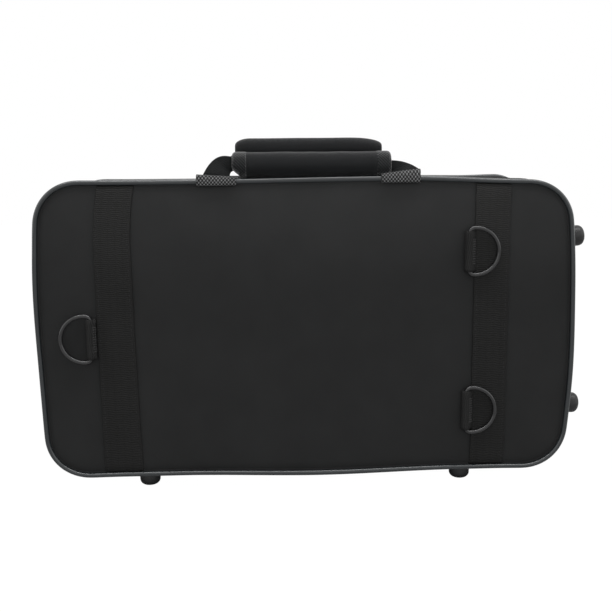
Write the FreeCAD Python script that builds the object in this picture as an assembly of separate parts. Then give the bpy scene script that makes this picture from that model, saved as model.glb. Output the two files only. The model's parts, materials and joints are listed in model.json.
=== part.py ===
"""Soft zip-up clarinet case: two boarded shells, a cloth spine, a zip, two handles and three D-rings.

The case stands on its long bottom edge. X runs along the case, Y through its depth from the
back panel (-Y) to the lid (+Y), and Z is up. Sizes are in millimetres. Pieces are drawn about the
middle of the case, and one shift at the end puts the middle of the footprint at the origin.
"""

import FreeCAD, Part
import math
import os

os.makedirs("parts", exist_ok=True)
Vector = FreeCAD.Vector
X_AXIS = Vector(1, 0, 0)
Y_AXIS = Vector(0, 1, 0)
Z_AXIS = Vector(0, 0, 1)

# Whole case, over the piping
case_width = 362.4
case_height = 200.0
case_depth = 97.0
corner_radius = 31.0
end_crown = 6.0
parting_offset = 4.0

# Cover
piping_diameter = 4.5
seam_gap = 0.1
cloth_thickness = 0.8
gusset_inset = 1.8
panel_recess = 0.9

# Shells
pad_thickness = 2.0
board_thickness = 3.0
rim_gap = 1.0
side_pad_stop = 5.0

# Zip
zip_tape_reach = 10.0
coil_reach = 3.6
coil_thickness = 2.4
coil_outset = 0.8
coil_gap = 0.4
coil_setback = 7.5
stop_rise = 0.7
leaf_gap = 0.05

# Insert in the back shell
foam_fit = 0.1
floor_foam = 3.0
rail_thickness = 9.0
divider_thickness = 7.0
rail_drop = 6.0
joint_row_share = 0.228
lower_joint_share = 0.808
upper_joint_share = 0.716
barrel_share = 0.220
mouthpiece_share = 0.294
pocket_corner = 7.0
plush_thickness = 0.8
liner_thickness = 0.6

# Lining of the lid
lining_wall = 3.5
lining_floor = 1.5

# Webbing bands and ring tabs
band_width = 23.6
band_thickness = 1.2
band_left_inset = 54.6
band_right_inset = 58.3
tab_webbing = 1.5
tab_height = 27.0
tab_end_thickness = 2.0
left_tab_reach = 4.8
right_tab_reach = 4.1
tab_seat_gap = 0.05

# D-rings
ring_wire = 2.8
ring_height = 34.0
ring_depth = 22.8
ring_corner = 3.0
ring_play = 0.3
left_ring_drop = 3.6
upper_ring_inset = 48.4
lower_ring_inset = 43.3

# Feet
foot_diameter = 14.5
foot_height = 12.5
foot_round = 3.8
foot_setback = 17.0
bottom_foot_inset = 71.2
end_foot_inset = 41.0
screw_diameter = 4.0
screw_grip = 8.0
screw_play = 0.1
screw_head_diameter = 8.0
screw_head_height = 1.4
washer_diameter = 12.0
washer_thickness = 0.6
washer_gap = 0.05
hardware_clearance = 0.4

# Handle webbing and its sewn patches
patch_width = 25.5
patch_webbing = 1.3
patch_gap = 0.15
patch_drop = 4.2
patch_reach = 6.0
left_patch_offset = 58.7
right_patch_offset = 61.5
strap_webbing = 1.6
strap_plate = 2.0
strap_lift = 1.95
strap_start = 1.8
strap_waist = 5.0
shoulder_share = 0.3
bulge_in_share = 0.3
bulge_up_share = 0.75

# Where each grip sits over its piping, and how high the ends of its webbing rise
back_grip_in = 8.0
back_grip_up = 9.0
back_grip_offset = 3.6
back_grip_length = 104.5
back_left_rise = 15.5
back_right_rise = 11.5
lid_grip_in = 4.0
lid_grip_up = 21.0
lid_grip_offset = 5.5
lid_grip_length = 110.0
lid_rise = 24.5

# Grips
grip_diameter = 16.8
grip_core_diameter = 14.8
sleeve_fit = 0.1
hem_width = 9.3
hem_rise = 0.3
hem_fit = 0.02
grip_slot_play = 0.3
grip_end_gap = 0.3

# Zip sliders and pulls
slider_length = 12.0
slider_width = 9.6
slider_plate = 1.3
slider_sole = 0.6
slider_sole_width = 7.2
slider_play = 0.3
slider_corner = 2.5
slider_spacing = 14.0
flange_thickness = 0.9
post_thickness = 0.3
post_length = 3.0
bail_span = 7.0
bail_wire = 0.9
bail_width = 1.6
bail_rise = 2.8
pull_length = 26.0
pull_width = 7.0
pull_thickness = 1.2
pull_bar_rise = 1.0
pull_eye_length = 4.5
pull_eye_width = 3.0
pull_corner = 1.5
pull_hole = 3.4
pull_hole_margin = 2.2

# One overrun for every cut, and one turn
overrun = 1.0
quarter_turn = 90.0

# Places that several pieces share, worked out from the sizes above
half_width = case_width / 2
half_height = case_height / 2
half_depth = case_depth / 2
piping_radius = piping_diameter / 2
panel_inset = piping_diameter + seam_gap
under_cloth = gusset_inset + cloth_thickness
board_inset = under_cloth + pad_thickness
inner_inset = board_inset + board_thickness
panel_back = panel_recess + cloth_thickness
board_front = panel_back + pad_thickness
board_back = board_front + board_thickness
gusset_start = piping_diameter + seam_gap
foam_inset = inner_inset + foam_fit
insert_floor_top = board_back + floor_foam
end_radius = (half_height ** 2 + end_crown ** 2) / (2 * end_crown)
end_centre_x = half_width - end_radius
corner_centre_z = half_height - corner_radius
corner_centre_x = end_centre_x + math.sqrt((end_radius - corner_radius) ** 2 - corner_centre_z ** 2)
spine_half = corner_centre_x
parting_y = parting_offset
pivot_z = half_height - piping_radius
coil_inset = gusset_inset - coil_outset


class Side:
    """One half of the case: where its outer face lies, and which way its depth runs."""

    def __init__(self, name, inward, depth):
        self.name = name
        self.inward = inward
        self.depth = depth

    def y(self, depth):
        """The Y of a place this far in from the front of this side's piping."""
        return self.inward * (depth - half_depth)


back = Side("back", 1, half_depth + parting_offset)
lid = Side("lid", -1, half_depth - parting_offset)


def outline_wire(inset, y):
    """The rounded outline of the case, drawn in by inset: straight long edges and crowned ends."""
    radius = corner_radius - inset
    end_r = end_radius - inset
    lean = math.atan2(corner_centre_z, corner_centre_x - end_centre_x)
    middle = (lean + math.pi / 2) / 2
    top = half_height - inset

    def corner(angle, sx, sz):
        px = corner_centre_x + radius * math.cos(angle)
        pz = corner_centre_z + radius * math.sin(angle)
        return Vector(sx * px, y, sz * pz)

    def end_middle(sx):
        return Vector(sx * (end_centre_x + end_r), y, 0)

    def corner_arc(sx, sz):
        return Part.Arc(corner(math.pi / 2, sx, sz), corner(middle, sx, sz), corner(lean, sx, sz))

    top_left = Vector(-corner_centre_x, y, top)
    top_right = Vector(corner_centre_x, y, top)
    low_left = Vector(-corner_centre_x, y, -top)
    low_right = Vector(corner_centre_x, y, -top)
    curves = [
        Part.LineSegment(top_left, top_right),
        corner_arc(1, 1),
        Part.Arc(corner(lean, 1, 1), end_middle(1), corner(lean, 1, -1)),
        corner_arc(1, -1),
        Part.LineSegment(low_right, low_left),
        corner_arc(-1, -1),
        Part.Arc(corner(lean, -1, -1), end_middle(-1), corner(lean, -1, 1)),
        corner_arc(-1, 1),
    ]
    return Part.Wire(Part.__sortEdges__([curve.toShape() for curve in curves]))


def plate(side, inset, start, stop):
    """A solid of the case's outline, drawn in by inset, between two depths of one side."""
    face = Part.Face(outline_wire(inset, side.y(start)))
    return face.extrude(Vector(0, side.y(stop) - side.y(start), 0))


def ring(side, outer, inner, start, stop):
    """A band round the case, from the outer inset to the inner inset, between two depths."""
    return plate(side, outer, start, stop).cut(plate(side, inner, start - overrun, stop + overrun))


def box(x0, x1, y0, y1, z0, z1):
    """A box between two corners, given in any order."""
    low = Vector(min(x0, x1), min(y0, y1), min(z0, z1))
    return Part.makeBox(abs(x1 - x0), abs(y1 - y0), abs(z1 - z0), low)


def prism(curves, along):
    """A solid from closed flat curves, pushed along a vector."""
    wire = Part.Wire(Part.__sortEdges__([curve.toShape() for curve in curves]))
    return Part.Face(wire).extrude(along)


def polygon(points, along):
    """A solid from the corners of a flat outline, pushed along a vector."""
    return Part.Face(Part.makePolygon(points + [points[0]])).extrude(along)


def rounded_slab(x0, x1, z0, z1, y0, y1, radius):
    """A rectangle in X and Z with rounded corners, pushed from y0 to y1."""
    slab = box(x0, x1, y0, y1, z0, z1)
    upright = [e for e in slab.Edges if abs(e.tangentAt(e.FirstParameter).y) > 0.5]
    return slab.makeFillet(radius, upright)


def all_cut(shape, tools):
    """The shape with each of the tools cut out of it."""
    for tool in tools:
        shape = shape.cut(tool)
    return shape


def swept(path, start, along, diameter):
    """A round rod that follows a closed path."""
    section = Part.Wire(Part.Circle(start, along, diameter / 2).toShape())
    return path.makePipeShell([section], True, False)


nodes = {}


def keep(name, *solids):
    """Keeps the solids of one node under its name."""
    found = []
    for solid in solids:
        found += solid.Solids
    nodes[name] = found


def foot_frames(side, at_end):
    """The two places of a side's feet: origin on the cover, local Z straight out of the case."""
    y = side.y(foot_setback)
    frames = []
    for hand in (-1, 1):
        if at_end:
            reach = end_radius - gusset_inset
            lean = math.degrees(math.asin(hand * (half_height - end_foot_inset) / reach))
            turn = FreeCAD.Rotation(Y_AXIS, quarter_turn - lean)
            centre = Vector(end_centre_x, y, 0)
            frames.append(FreeCAD.Placement(centre + turn.multVec(Z_AXIS) * reach, turn))
        else:
            turn = FreeCAD.Rotation(X_AXIS, 2 * quarter_turn)
            place = Vector(hand * (half_width - bottom_foot_inset), y, gusset_inset - half_height)
            frames.append(FreeCAD.Placement(place, turn))
    return frames


def placed(shape, frame):
    """A copy of the shape in a foot's place."""
    copy = shape.copy()
    copy.Placement = frame.multiply(copy.Placement)
    return copy


def cylinder(diameter, z0, z1):
    """A round bar on the local Z axis."""
    return Part.makeCylinder(diameter / 2, z1 - z0, Vector(0, 0, z0))


wall_inside = -(cloth_thickness + pad_thickness + board_thickness)
washer_top = wall_inside - washer_gap
washer_bottom = washer_top - washer_thickness


def rubber_foot():
    """A rubber bumper with a rounded crown and a bore for its screw."""
    body = cylinder(foot_diameter, 0, foot_height)
    crown = [e for e in body.Edges if e.BoundBox.ZMin > foot_height / 2]
    body = body.makeFillet(foot_round, crown)
    return body.cut(cylinder(screw_diameter + 2 * screw_play, -overrun, screw_grip + screw_play))


def foot_screw():
    """A pan-head screw that holds a foot from inside the board."""
    shank = cylinder(screw_diameter, washer_bottom, screw_grip)
    head = cylinder(screw_head_diameter, washer_bottom - screw_head_height, washer_bottom)
    return shank.fuse(head).removeSplitter()


def foot_washer():
    """The washer between a screw's head and the board."""
    disc = cylinder(washer_diameter, washer_bottom, washer_top)
    return disc.cut(cylinder(screw_diameter + 2 * screw_play, washer_bottom - overrun, washer_top + overrun))


def foot_bores(side):
    """The screw holes of a side's feet, as solids to cut."""
    bore = cylinder(screw_diameter + 2 * screw_play, wall_inside - overrun, overrun)
    return [placed(bore, f) for f in foot_frames(side, False) + foot_frames(side, True)]


def foot_recesses(side):
    """Room for the screw heads and washers inside the board, as solids to cut."""
    deep = washer_bottom - screw_head_height - hardware_clearance
    room = cylinder(washer_diameter + 2 * hardware_clearance, deep, wall_inside + overrun)
    return [placed(room, f) for f in foot_frames(side, False) + foot_frames(side, True)]


def make_feet(side):
    """The feet, screws and washers of one side."""
    bottom = foot_frames(side, False)
    end = foot_frames(side, True)
    keep(side.name + "_bottom_feet", *[placed(rubber_foot(), f) for f in bottom])
    keep(side.name + "_end_feet", *[placed(rubber_foot(), f) for f in end])
    keep(side.name + "_foot_screws", *[placed(foot_screw(), f) for f in bottom + end])
    keep(side.name + "_foot_washers", *[placed(foot_washer(), f) for f in bottom + end])


def make_piping(side):
    """The cord piping in the seam round one side's panel."""
    y = side.y(piping_radius)
    path = outline_wire(piping_radius, y)
    rod = swept(path, Vector(0, y, half_height - piping_radius), X_AXIS, piping_diameter)
    tube = math.pi * piping_radius ** 2 * path.Length
    print(side.name, "piping volume over section times length:", rod.Volume / tube)
    keep(side.name + "_piping", rod)


def make_shell(side):
    """The board, padding, cloth and piping of one side."""
    bores = foot_bores(side)
    rim = side.depth - rim_gap
    tray = plate(side, board_inset, board_front, rim)
    tray = tray.cut(plate(side, inner_inset, board_back, rim + overrun))
    keep(side.name + "_board", all_cut(tray, bores))
    keep(side.name + "_panel_pad", plate(side, panel_inset, panel_back, board_front))
    side_pad = ring(side, under_cloth, board_inset, gusset_start, side.depth - side_pad_stop)
    keep(side.name + "_side_pad", all_cut(side_pad, bores))
    keep(side.name + "_panel_cloth", plate(side, panel_inset, panel_recess, panel_back))
    gusset = ring(side, gusset_inset, under_cloth, gusset_start, side.depth - zip_tape_reach)
    keep(side.name + "_gusset_cloth", all_cut(gusset, bores))
    make_piping(side)


def spine_cutter(half_length):
    """The block that takes in the straight bottom run of the seam."""
    return box(-half_length, half_length, -half_depth, half_depth, -half_height, -half_height + corner_radius)


def make_closure(side):
    """The zip tape and coil round three sides, and the cloth spine leaf along the bottom."""
    start = side.depth - zip_tape_reach
    tape = ring(side, gusset_inset, under_cloth, start, side.depth - coil_reach)
    keep("zip_tape_" + side.name, tape.cut(spine_cutter(spine_half)))
    coil = ring(side, coil_inset, coil_inset + coil_thickness, side.depth - coil_reach, side.depth - coil_gap)
    keep("zip_coil_" + side.name, coil.cut(spine_cutter(spine_half + coil_setback)))
    leaf = ring(side, gusset_inset, under_cloth, start, side.depth - leaf_gap)
    keep("spine_leaf_" + side.name, leaf.common(spine_cutter(spine_half)))


def make_zip_stops():
    """The sewn stops over the two ends of the zip, on the back shell's tape."""
    stops = []
    start = back.depth - zip_tape_reach
    for hand in (-1, 1):
        band = ring(back, gusset_inset - stop_rise, gusset_inset, start, back.depth - coil_reach - seam_gap)
        x0 = hand * spine_half
        x1 = x0 + hand * coil_setback
        reach = box(x0, x1, -half_depth, half_depth, -half_height, -half_height + corner_radius)
        stops.append(band.common(reach))
    keep("zip_end_stops", *stops)


def pocket_plan():
    """The pockets of the insert as (name, x0, x1, z0, z1), packed from the lower left corner."""
    left = rail_thickness + foam_inset - half_width
    right = -left
    low = rail_thickness + foam_inset - half_height
    high = -low
    row = (high - low) * joint_row_share
    span = right - left
    gap = divider_thickness
    lower_end = left + span * lower_joint_share
    z1 = low + row
    z2 = z1 + gap
    z3 = z2 + row
    z4 = z3 + gap
    z5 = z4 + row
    z6 = z5 + gap
    middle = left + span * upper_joint_share
    barrel_end = left + span * barrel_share
    mouth_end = barrel_end + gap + span * mouthpiece_share
    return [
        ("lower_joint", left, lower_end, low, z1),
        ("swab", lower_end + gap, right, low, z1),
        ("upper_joint", left, middle, z2, z3),
        ("barrel", left, barrel_end, z4, z5),
        ("mouthpiece", barrel_end + gap, mouth_end, z4, z5),
        ("reeds", mouth_end + gap, middle, z4, z5),
        ("accessory", left, middle, z6, high),
        ("bell", middle + gap, right, z2, high),
    ]


def make_insert():
    """The pocketed insert: foam floor, rails and dividers, plush face and pocket liners."""
    pockets = {name: spans for name, *spans in pocket_plan()}
    left, lower_end, low, row1 = pockets["lower_joint"]
    bell_left, right, row2, high = pockets["bell"]
    middle = pockets["upper_joint"][1]
    row3 = pockets["upper_joint"][3]
    row4 = pockets["barrel"][2]
    row5 = pockets["barrel"][3]
    row6 = pockets["accessory"][2]
    top = back.depth - rail_drop
    y0 = back.y(insert_floor_top)
    y1 = back.y(top)
    recesses = foot_recesses(back)

    floor = plate(back, foam_inset, board_back, insert_floor_top)
    well = box(bell_left, right, back.y(board_back) - overrun, y0 + overrun, row2, high)
    keep("insert_floor", all_cut(floor, [well]))

    block = plate(back, foam_inset, insert_floor_top, top)
    regions = [
        box(-half_width, half_width, y0, y1, high, half_height),
        box(-half_width, half_width, y0, y1, -half_height, low),
        box(-half_width, left, y0, y1, low, high),
        box(right, half_width, y0, y1, low, high),
    ]
    keep("insert_rails", *[all_cut(block.common(region), recesses) for region in regions])

    long_walls = [
        box(left, right, y0, y1, row1, row2),
        box(left, middle, y0, y1, row3, row4),
        box(left, middle, y0, y1, row5, row6),
    ]
    keep("insert_long_dividers", *long_walls)
    cross_walls = [
        box(lower_end, pockets["swab"][0], y0, y1, low, row1),
        box(middle, bell_left, y0, y1, row2, high),
        box(pockets["barrel"][1], pockets["mouthpiece"][0], y0, y1, row4, row5),
        box(pockets["mouthpiece"][1], pockets["reeds"][0], y0, y1, row4, row5),
    ]
    keep("insert_cross_dividers", *cross_walls)

    face = plate(back, foam_inset, top, top + plush_thickness)
    liners = []
    for name, (x0, x1, z0, z1) in pockets.items():
        ya = back.y(top) - overrun
        yb = back.y(top + plush_thickness) + overrun
        lip = liner_thickness + foam_fit
        mouth = rounded_slab(x0 + lip, x1 - lip, z0 + lip, z1 - lip, ya, yb, pocket_corner - lip)
        face = face.cut(mouth)
        base = back.y(board_back if name == "bell" else insert_floor_top) + foam_fit
        fit = foam_fit
        cup = rounded_slab(x0 + fit, x1 - fit, z0 + fit, z1 - fit, base, y1, pocket_corner - fit)
        ya = base + liner_thickness
        yb = y1 + overrun
        hollow = rounded_slab(x0 + lip, x1 - lip, z0 + lip, z1 - lip, ya, yb, pocket_corner - lip)
        liners.append(cup.cut(hollow))
    keep("insert_face_plush", face)
    keep("pocket_liners", *liners)


def make_lid_lining():
    """The plush tub inside the lid."""
    rim = lid.depth - rim_gap
    tub = plate(lid, foam_inset, board_back + foam_fit, rim)
    tub = tub.cut(plate(lid, foam_inset + lining_wall, board_back + foam_fit + lining_floor, rim + overrun))
    keep("lid_lining", all_cut(tub, foot_recesses(lid)))


panel_y = back.y(panel_recess)
ring_radius = ring_wire / 2
loop_radius = ring_radius + ring_play + tab_webbing
ring_bar_y = panel_y - loop_radius - tab_seat_gap
left_band_edge = band_left_inset - half_width - band_width / 2
right_band_edge = half_width - band_right_inset - band_width / 2


def make_bands():
    """The two webbing bands that run up the back panel."""
    z = half_height - panel_inset
    for name, x0 in (("band_left", left_band_edge), ("band_right", right_band_edge)):
        keep(name, box(x0, x0 + band_width, panel_y - band_thickness, panel_y, -z, z))


def ring_places():
    """Each D-ring as (name, bar x, middle z, side that the ring points to, band edge)."""
    return [
        ("left", left_band_edge - left_tab_reach, -left_ring_drop, -1, left_band_edge),
        ("right_upper", right_band_edge - right_tab_reach, half_height - upper_ring_inset, 1, right_band_edge),
        ("right_lower", right_band_edge - right_tab_reach, lower_ring_inset - half_height, 1, right_band_edge),
    ]


def make_ring(name, bar_x, middle_z, points_to, band_edge):
    """One D-ring of round wire and the folded tab that its bar turns in."""
    y = ring_bar_y
    reach = ring_height / 2 - ring_radius
    straight = reach - ring_corner
    bow_x = ring_depth - ring_wire - reach
    fold = ring_corner * (1 - math.sqrt(0.5))

    def at(x, z):
        return Vector(bar_x + points_to * x, y, middle_z + z)

    curves = [
        Part.LineSegment(at(0, -straight), at(0, straight)),
        Part.Arc(at(0, straight), at(fold, reach - fold), at(ring_corner, reach)),
        Part.LineSegment(at(ring_corner, reach), at(bow_x, reach)),
        Part.Arc(at(bow_x, reach), at(bow_x + reach, 0), at(bow_x, -reach)),
        Part.LineSegment(at(bow_x, -reach), at(ring_corner, -reach)),
        Part.Arc(at(ring_corner, -reach), at(fold, fold - reach), at(0, -straight)),
    ]
    path = Part.Wire(Part.__sortEdges__([curve.toShape() for curve in curves]))
    keep("d_ring_" + name, swept(path, at(0, 0), Z_AXIS, ring_wire))

    base = Vector(bar_x, y, middle_z - tab_height / 2)
    loop = Part.makeCylinder(loop_radius, tab_height, base)
    z = base.z
    tongue = polygon(
        [
            Vector(bar_x, y - loop_radius, z),
            Vector(band_edge, y + loop_radius - tab_end_thickness, z),
            Vector(band_edge, y + loop_radius, z),
            Vector(bar_x, y + loop_radius, z),
        ],
        Vector(0, 0, tab_height),
    )
    bore = Part.makeCylinder(ring_radius + ring_play, tab_height + 2 * overrun, base - Z_AXIS * overrun)
    keep("ring_tab_" + name, loop.fuse(tongue).removeSplitter().cut(bore))


class Handle:
    """One carrying handle: where its grip sits over the side's piping, and how its ends rise."""

    def __init__(self, side, grip_in, grip_up):
        self.side = side
        self.grip_in = grip_in
        self.grip_up = grip_up
        self.grip_x = 0
        self.grip_length = 0
        self.rises = (0, 0)
        self.pivot_y = side.y(piping_radius)

    def y(self, reach):
        """The Y of a place this far in from the middle of the piping."""
        return self.pivot_y + self.side.inward * reach


back_handle = Handle(back, back_grip_in, back_grip_up)
back_handle.grip_x = back_grip_offset
back_handle.grip_length = back_grip_length
back_handle.rises = (back_left_rise, back_right_rise)
lid_handle = Handle(lid, lid_grip_in, lid_grip_up)
lid_handle.grip_x = lid_grip_offset
lid_handle.grip_length = lid_grip_length
lid_handle.rises = (lid_rise, lid_rise)


def make_patches(handle):
    """The sewn webbing patches that fold over the piping under a handle."""
    inner = piping_radius + patch_gap
    outer = inner + patch_webbing
    flat = half_height - gusset_inset - pivot_z
    flat_top = flat + patch_webbing
    low = half_height - patch_drop - pivot_z
    solids = []
    for offset in (-left_patch_offset, right_patch_offset):
        x0 = offset - patch_width / 2

        def at(reach, rise):
            return Vector(x0, handle.y(reach), pivot_z + rise)

        curves = [
            Part.LineSegment(at(-outer, low), at(-outer, 0)),
            Part.Arc(at(-outer, 0), at(0, outer), at(math.sqrt(outer ** 2 - flat_top ** 2), flat_top)),
            Part.LineSegment(at(math.sqrt(outer ** 2 - flat_top ** 2), flat_top), at(patch_reach, flat_top)),
            Part.LineSegment(at(patch_reach, flat_top), at(patch_reach, flat)),
            Part.LineSegment(at(patch_reach, flat), at(math.sqrt(inner ** 2 - flat ** 2), flat)),
            Part.Arc(at(math.sqrt(inner ** 2 - flat ** 2), flat), at(0, inner), at(-inner, 0)),
            Part.LineSegment(at(-inner, 0), at(-inner, low)),
            Part.LineSegment(at(-inner, low), at(-outer, low)),
        ]
        solids.append(prism(curves, Vector(patch_width, 0, 0)))
    keep(handle.side.name + "_handle_patches", *solids)


def strap_end(handle, hand, offset, rise):
    """One end of the handle webbing: the strip over the patch and the riser into the grip."""
    inward = handle.side.inward
    strip_z = half_height + strap_lift
    riser_y = handle.y(handle.grip_in) - strap_plate / 2
    grip_face = handle.grip_x + hand * handle.grip_length / 2
    stop = grip_face + hand * grip_end_gap
    outer = offset + hand * patch_width / 2
    top = half_height + rise
    waist = half_height + handle.grip_up - strap_waist / 2
    strip_end = handle.y(handle.grip_in) + inward * strap_plate / 2
    strip = box(stop, outer, handle.y(strap_start), strip_end, strip_z, strip_z + strap_webbing)
    shoulder = stop + (outer - stop) * shoulder_share
    bulge_x = outer - (outer - shoulder) * bulge_in_share
    bulge_z = strip_z + (top - strip_z) * bulge_up_share

    def at(x, z):
        return Vector(x, riser_y, z)

    riser = prism(
        [
            Part.LineSegment(at(stop, strip_z), at(outer, strip_z)),
            Part.Arc(at(outer, strip_z), at(bulge_x, bulge_z), at(shoulder, top)),
            Part.LineSegment(at(shoulder, top), at(stop, top)),
            Part.LineSegment(at(stop, top), at(stop, strip_z)),
        ],
        Vector(0, strap_plate, 0),
    )
    inside = grip_face - hand * overrun
    neck = box(stop, inside, riser_y, riser_y + strap_plate, waist, waist + strap_waist)
    return strip.fuse([riser, neck])


def make_handle(handle):
    """The webbing, core, sleeve and hems of one handle."""
    name = handle.side.name
    make_patches(handle)
    left_end = strap_end(handle, -1, -left_patch_offset, handle.rises[0])
    right_end = strap_end(handle, 1, right_patch_offset, handle.rises[1])
    centre_y = handle.y(handle.grip_in)
    centre_z = half_height + handle.grip_up
    x0 = handle.grip_x - handle.grip_length / 2
    x1 = handle.grip_x + handle.grip_length / 2
    z0 = centre_z - strap_waist / 2
    y0 = centre_y - strap_plate / 2
    run = box(x0, x1, y0, y0 + strap_plate, z0, z0 + strap_waist)
    keep(name + "_handle_webbing", left_end.fuse([run, right_end]).removeSplitter())

    def tube(outer, inner, start, stop):
        body = Part.makeCylinder(outer / 2, stop - start, Vector(start, centre_y, centre_z), X_AXIS)
        if inner == 0:
            return body
        bore = Part.makeCylinder(inner / 2, case_width, Vector(-half_width, centre_y, centre_z), X_AXIS)
        return body.cut(bore)

    play = grip_slot_play
    y1 = y0 + strap_plate + play
    slot = box(x0 - overrun, x1 + overrun, y0 - play, y1, z0 - play, z0 + strap_waist + play)
    keep(name + "_grip_core", tube(grip_core_diameter, 0, x0, x1).cut(slot))
    sleeve_bore = grip_core_diameter + 2 * sleeve_fit
    keep(name + "_grip_sleeve", tube(grip_diameter, sleeve_bore, x0, x1))
    hem_bore = grip_diameter + 2 * hem_fit
    hem_outer = grip_diameter + 2 * hem_rise
    hems = [tube(hem_outer, hem_bore, x0, x0 + hem_width), tube(hem_outer, hem_bore, x1 - hem_width, x1)]
    keep(name + "_grip_hems", *hems)


coil_top = half_height - coil_inset
coil_bottom = coil_top - coil_thickness
slider_top = coil_top + slider_play + slider_plate
pull_axis_z = slider_top + pull_bar_rise


def make_slider(name, hand):
    """One zip slider with its bail, and the pull whose round bar turns in the bail."""
    x = hand * slider_spacing / 2
    y = parting_y
    half = slider_length / 2
    plate_bottom = coil_top + slider_play
    flange_y = y - slider_width / 2
    top = Part.makeBox(slider_length, slider_width, slider_plate, Vector(x - half, flange_y, plate_bottom))
    corners = [e for e in top.Edges if abs(e.tangentAt(e.FirstParameter).z) > 0.5]
    top = top.makeFillet(slider_corner, corners)
    flange_low = half_height - gusset_inset + slider_play
    run = half - slider_corner
    flange = box(x - run, x + run, flange_y, flange_y + flange_thickness, flange_low, plate_bottom)
    sole_top = coil_bottom - slider_play
    sole_y = slider_sole_width / 2
    sole = box(x - run, x + run, y - sole_y, y + sole_y, sole_top - slider_sole, sole_top)
    post_x0 = x - hand * run
    post_x1 = post_x0 + hand * post_length
    post_y = post_thickness / 2
    post = box(post_x0, post_x1, y - post_y, y + post_y, sole_top - slider_sole, plate_bottom)
    body = top.fuse([flange, sole, post])

    bail_x = bail_span / 2
    bail_y = bail_width / 2
    arch = box(x - bail_x, x + bail_x, y - bail_y, y + bail_y, slider_top, slider_top + bail_rise)
    inner_x = bail_x - bail_wire
    roof = slider_top + bail_rise - bail_wire
    under = box(x - inner_x, x + inner_x, y - bail_width, y + bail_width, slider_top, roof)
    keep("zip_slider_" + name, body.fuse(arch.cut(under)).removeSplitter())

    z0 = pull_axis_z - pull_thickness / 2
    eye_half = pull_eye_width / 2
    tip = x + hand * pull_length
    blade = box(x, tip, y - pull_width / 2, y + pull_width / 2, z0, z0 + pull_thickness)
    upright = [e for e in blade.Edges if abs(e.tangentAt(e.FirstParameter).z) > 0.5]
    ends = [e for e in upright if abs(e.BoundBox.XMin - tip) < overrun]
    blade = blade.makeFillet(pull_corner, ends)
    eye_start = x + hand * pull_thickness / 2
    eye_stop = eye_start + hand * pull_eye_length
    eye = box(eye_start, eye_stop, y - eye_half, y + eye_half, z0 - overrun, z0 + pull_thickness + overrun)
    hole_x = tip - hand * (pull_hole_margin + pull_hole / 2)
    hole = Part.makeCylinder(pull_hole / 2, pull_thickness + 2 * overrun, Vector(hole_x, y, z0 - overrun))
    start = Vector(x, y - pull_width / 2, pull_axis_z)
    bar = Part.makeCylinder(pull_thickness / 2, pull_width, start, Y_AXIS)
    keep("zip_pull_" + name, all_cut(blade, [eye, hole]).fuse(bar).removeSplitter())


make_shell(back)
make_shell(lid)
make_closure(back)
make_closure(lid)
make_zip_stops()
make_feet(back)
make_feet(lid)
make_insert()
make_lid_lining()
make_bands()
for ring_place in ring_places():
    make_ring(*ring_place)
make_handle(back_handle)
make_handle(lid_handle)
make_slider("left", -1)
make_slider("right", 1)

# The origin is the middle of the footprint, at the level that the feet stand on
whole = Part.makeCompound([solid for solids in nodes.values() for solid in solids]).BoundBox
shift = Vector(-(whole.XMin + whole.XMax) / 2, -(whole.YMin + whole.YMax) / 2, -whole.ZMin)
for node, solids in nodes.items():
    shape = solids[0] if len(solids) == 1 else Part.makeCompound(solids)
    shape.translate(shift)
    shape.exportStep("parts/" + node + ".step")
    valid = all(solid.isValid() for solid in solids)
    print(node, "solids", len(solids), "valid", valid, "volume", round(shape.Volume, 1))

print("shift", shift)
print("size", whole.XLength, whole.YLength, whole.ZLength)
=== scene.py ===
"""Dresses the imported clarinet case: cloth shells, piping, webbing, zip, feet, handles and insert."""

import json
import logging
import math
from dataclasses import dataclass, field
from enum import Enum
from typing import Callable, Iterable, Sequence

import bmesh
import bpy
from mathutils import Matrix, Vector, noise
from mathutils.geometry import interpolate_bezier

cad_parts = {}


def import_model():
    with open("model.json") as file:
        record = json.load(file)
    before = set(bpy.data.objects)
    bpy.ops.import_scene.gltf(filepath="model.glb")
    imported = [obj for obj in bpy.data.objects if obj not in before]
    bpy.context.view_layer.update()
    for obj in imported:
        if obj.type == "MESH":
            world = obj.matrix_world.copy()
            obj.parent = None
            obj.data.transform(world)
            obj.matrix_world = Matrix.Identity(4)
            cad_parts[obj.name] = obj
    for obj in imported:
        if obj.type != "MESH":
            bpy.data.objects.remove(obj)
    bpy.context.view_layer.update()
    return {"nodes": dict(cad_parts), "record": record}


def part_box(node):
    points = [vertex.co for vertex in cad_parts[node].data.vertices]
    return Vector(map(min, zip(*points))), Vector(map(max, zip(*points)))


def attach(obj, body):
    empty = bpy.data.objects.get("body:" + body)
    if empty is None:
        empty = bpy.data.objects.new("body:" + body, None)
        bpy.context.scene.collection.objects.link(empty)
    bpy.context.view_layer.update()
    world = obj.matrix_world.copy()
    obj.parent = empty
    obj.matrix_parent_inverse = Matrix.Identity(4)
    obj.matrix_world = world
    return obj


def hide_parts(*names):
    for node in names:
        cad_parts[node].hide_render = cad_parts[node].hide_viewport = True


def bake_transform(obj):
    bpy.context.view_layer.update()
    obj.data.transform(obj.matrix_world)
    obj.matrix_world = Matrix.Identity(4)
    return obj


LOG = logging.getLogger("clarinet_case")
MM = 0.001
WELD = 0.01
Point = tuple[float, float]
UvRule = Callable[[Vector, Vector], Point]


class Side(Enum):
    """The two halves of the case."""

    BACK = "back"
    LID = "lid"

    @property
    def body(self) -> str:
        """The body that this half's pieces ride on."""
        return "back_shell" if self is Side.BACK else "lid"

    @property
    def inward(self) -> int:
        """Which way depth runs along Y from this half's panel."""
        return 1 if self is Side.BACK else -1


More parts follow.
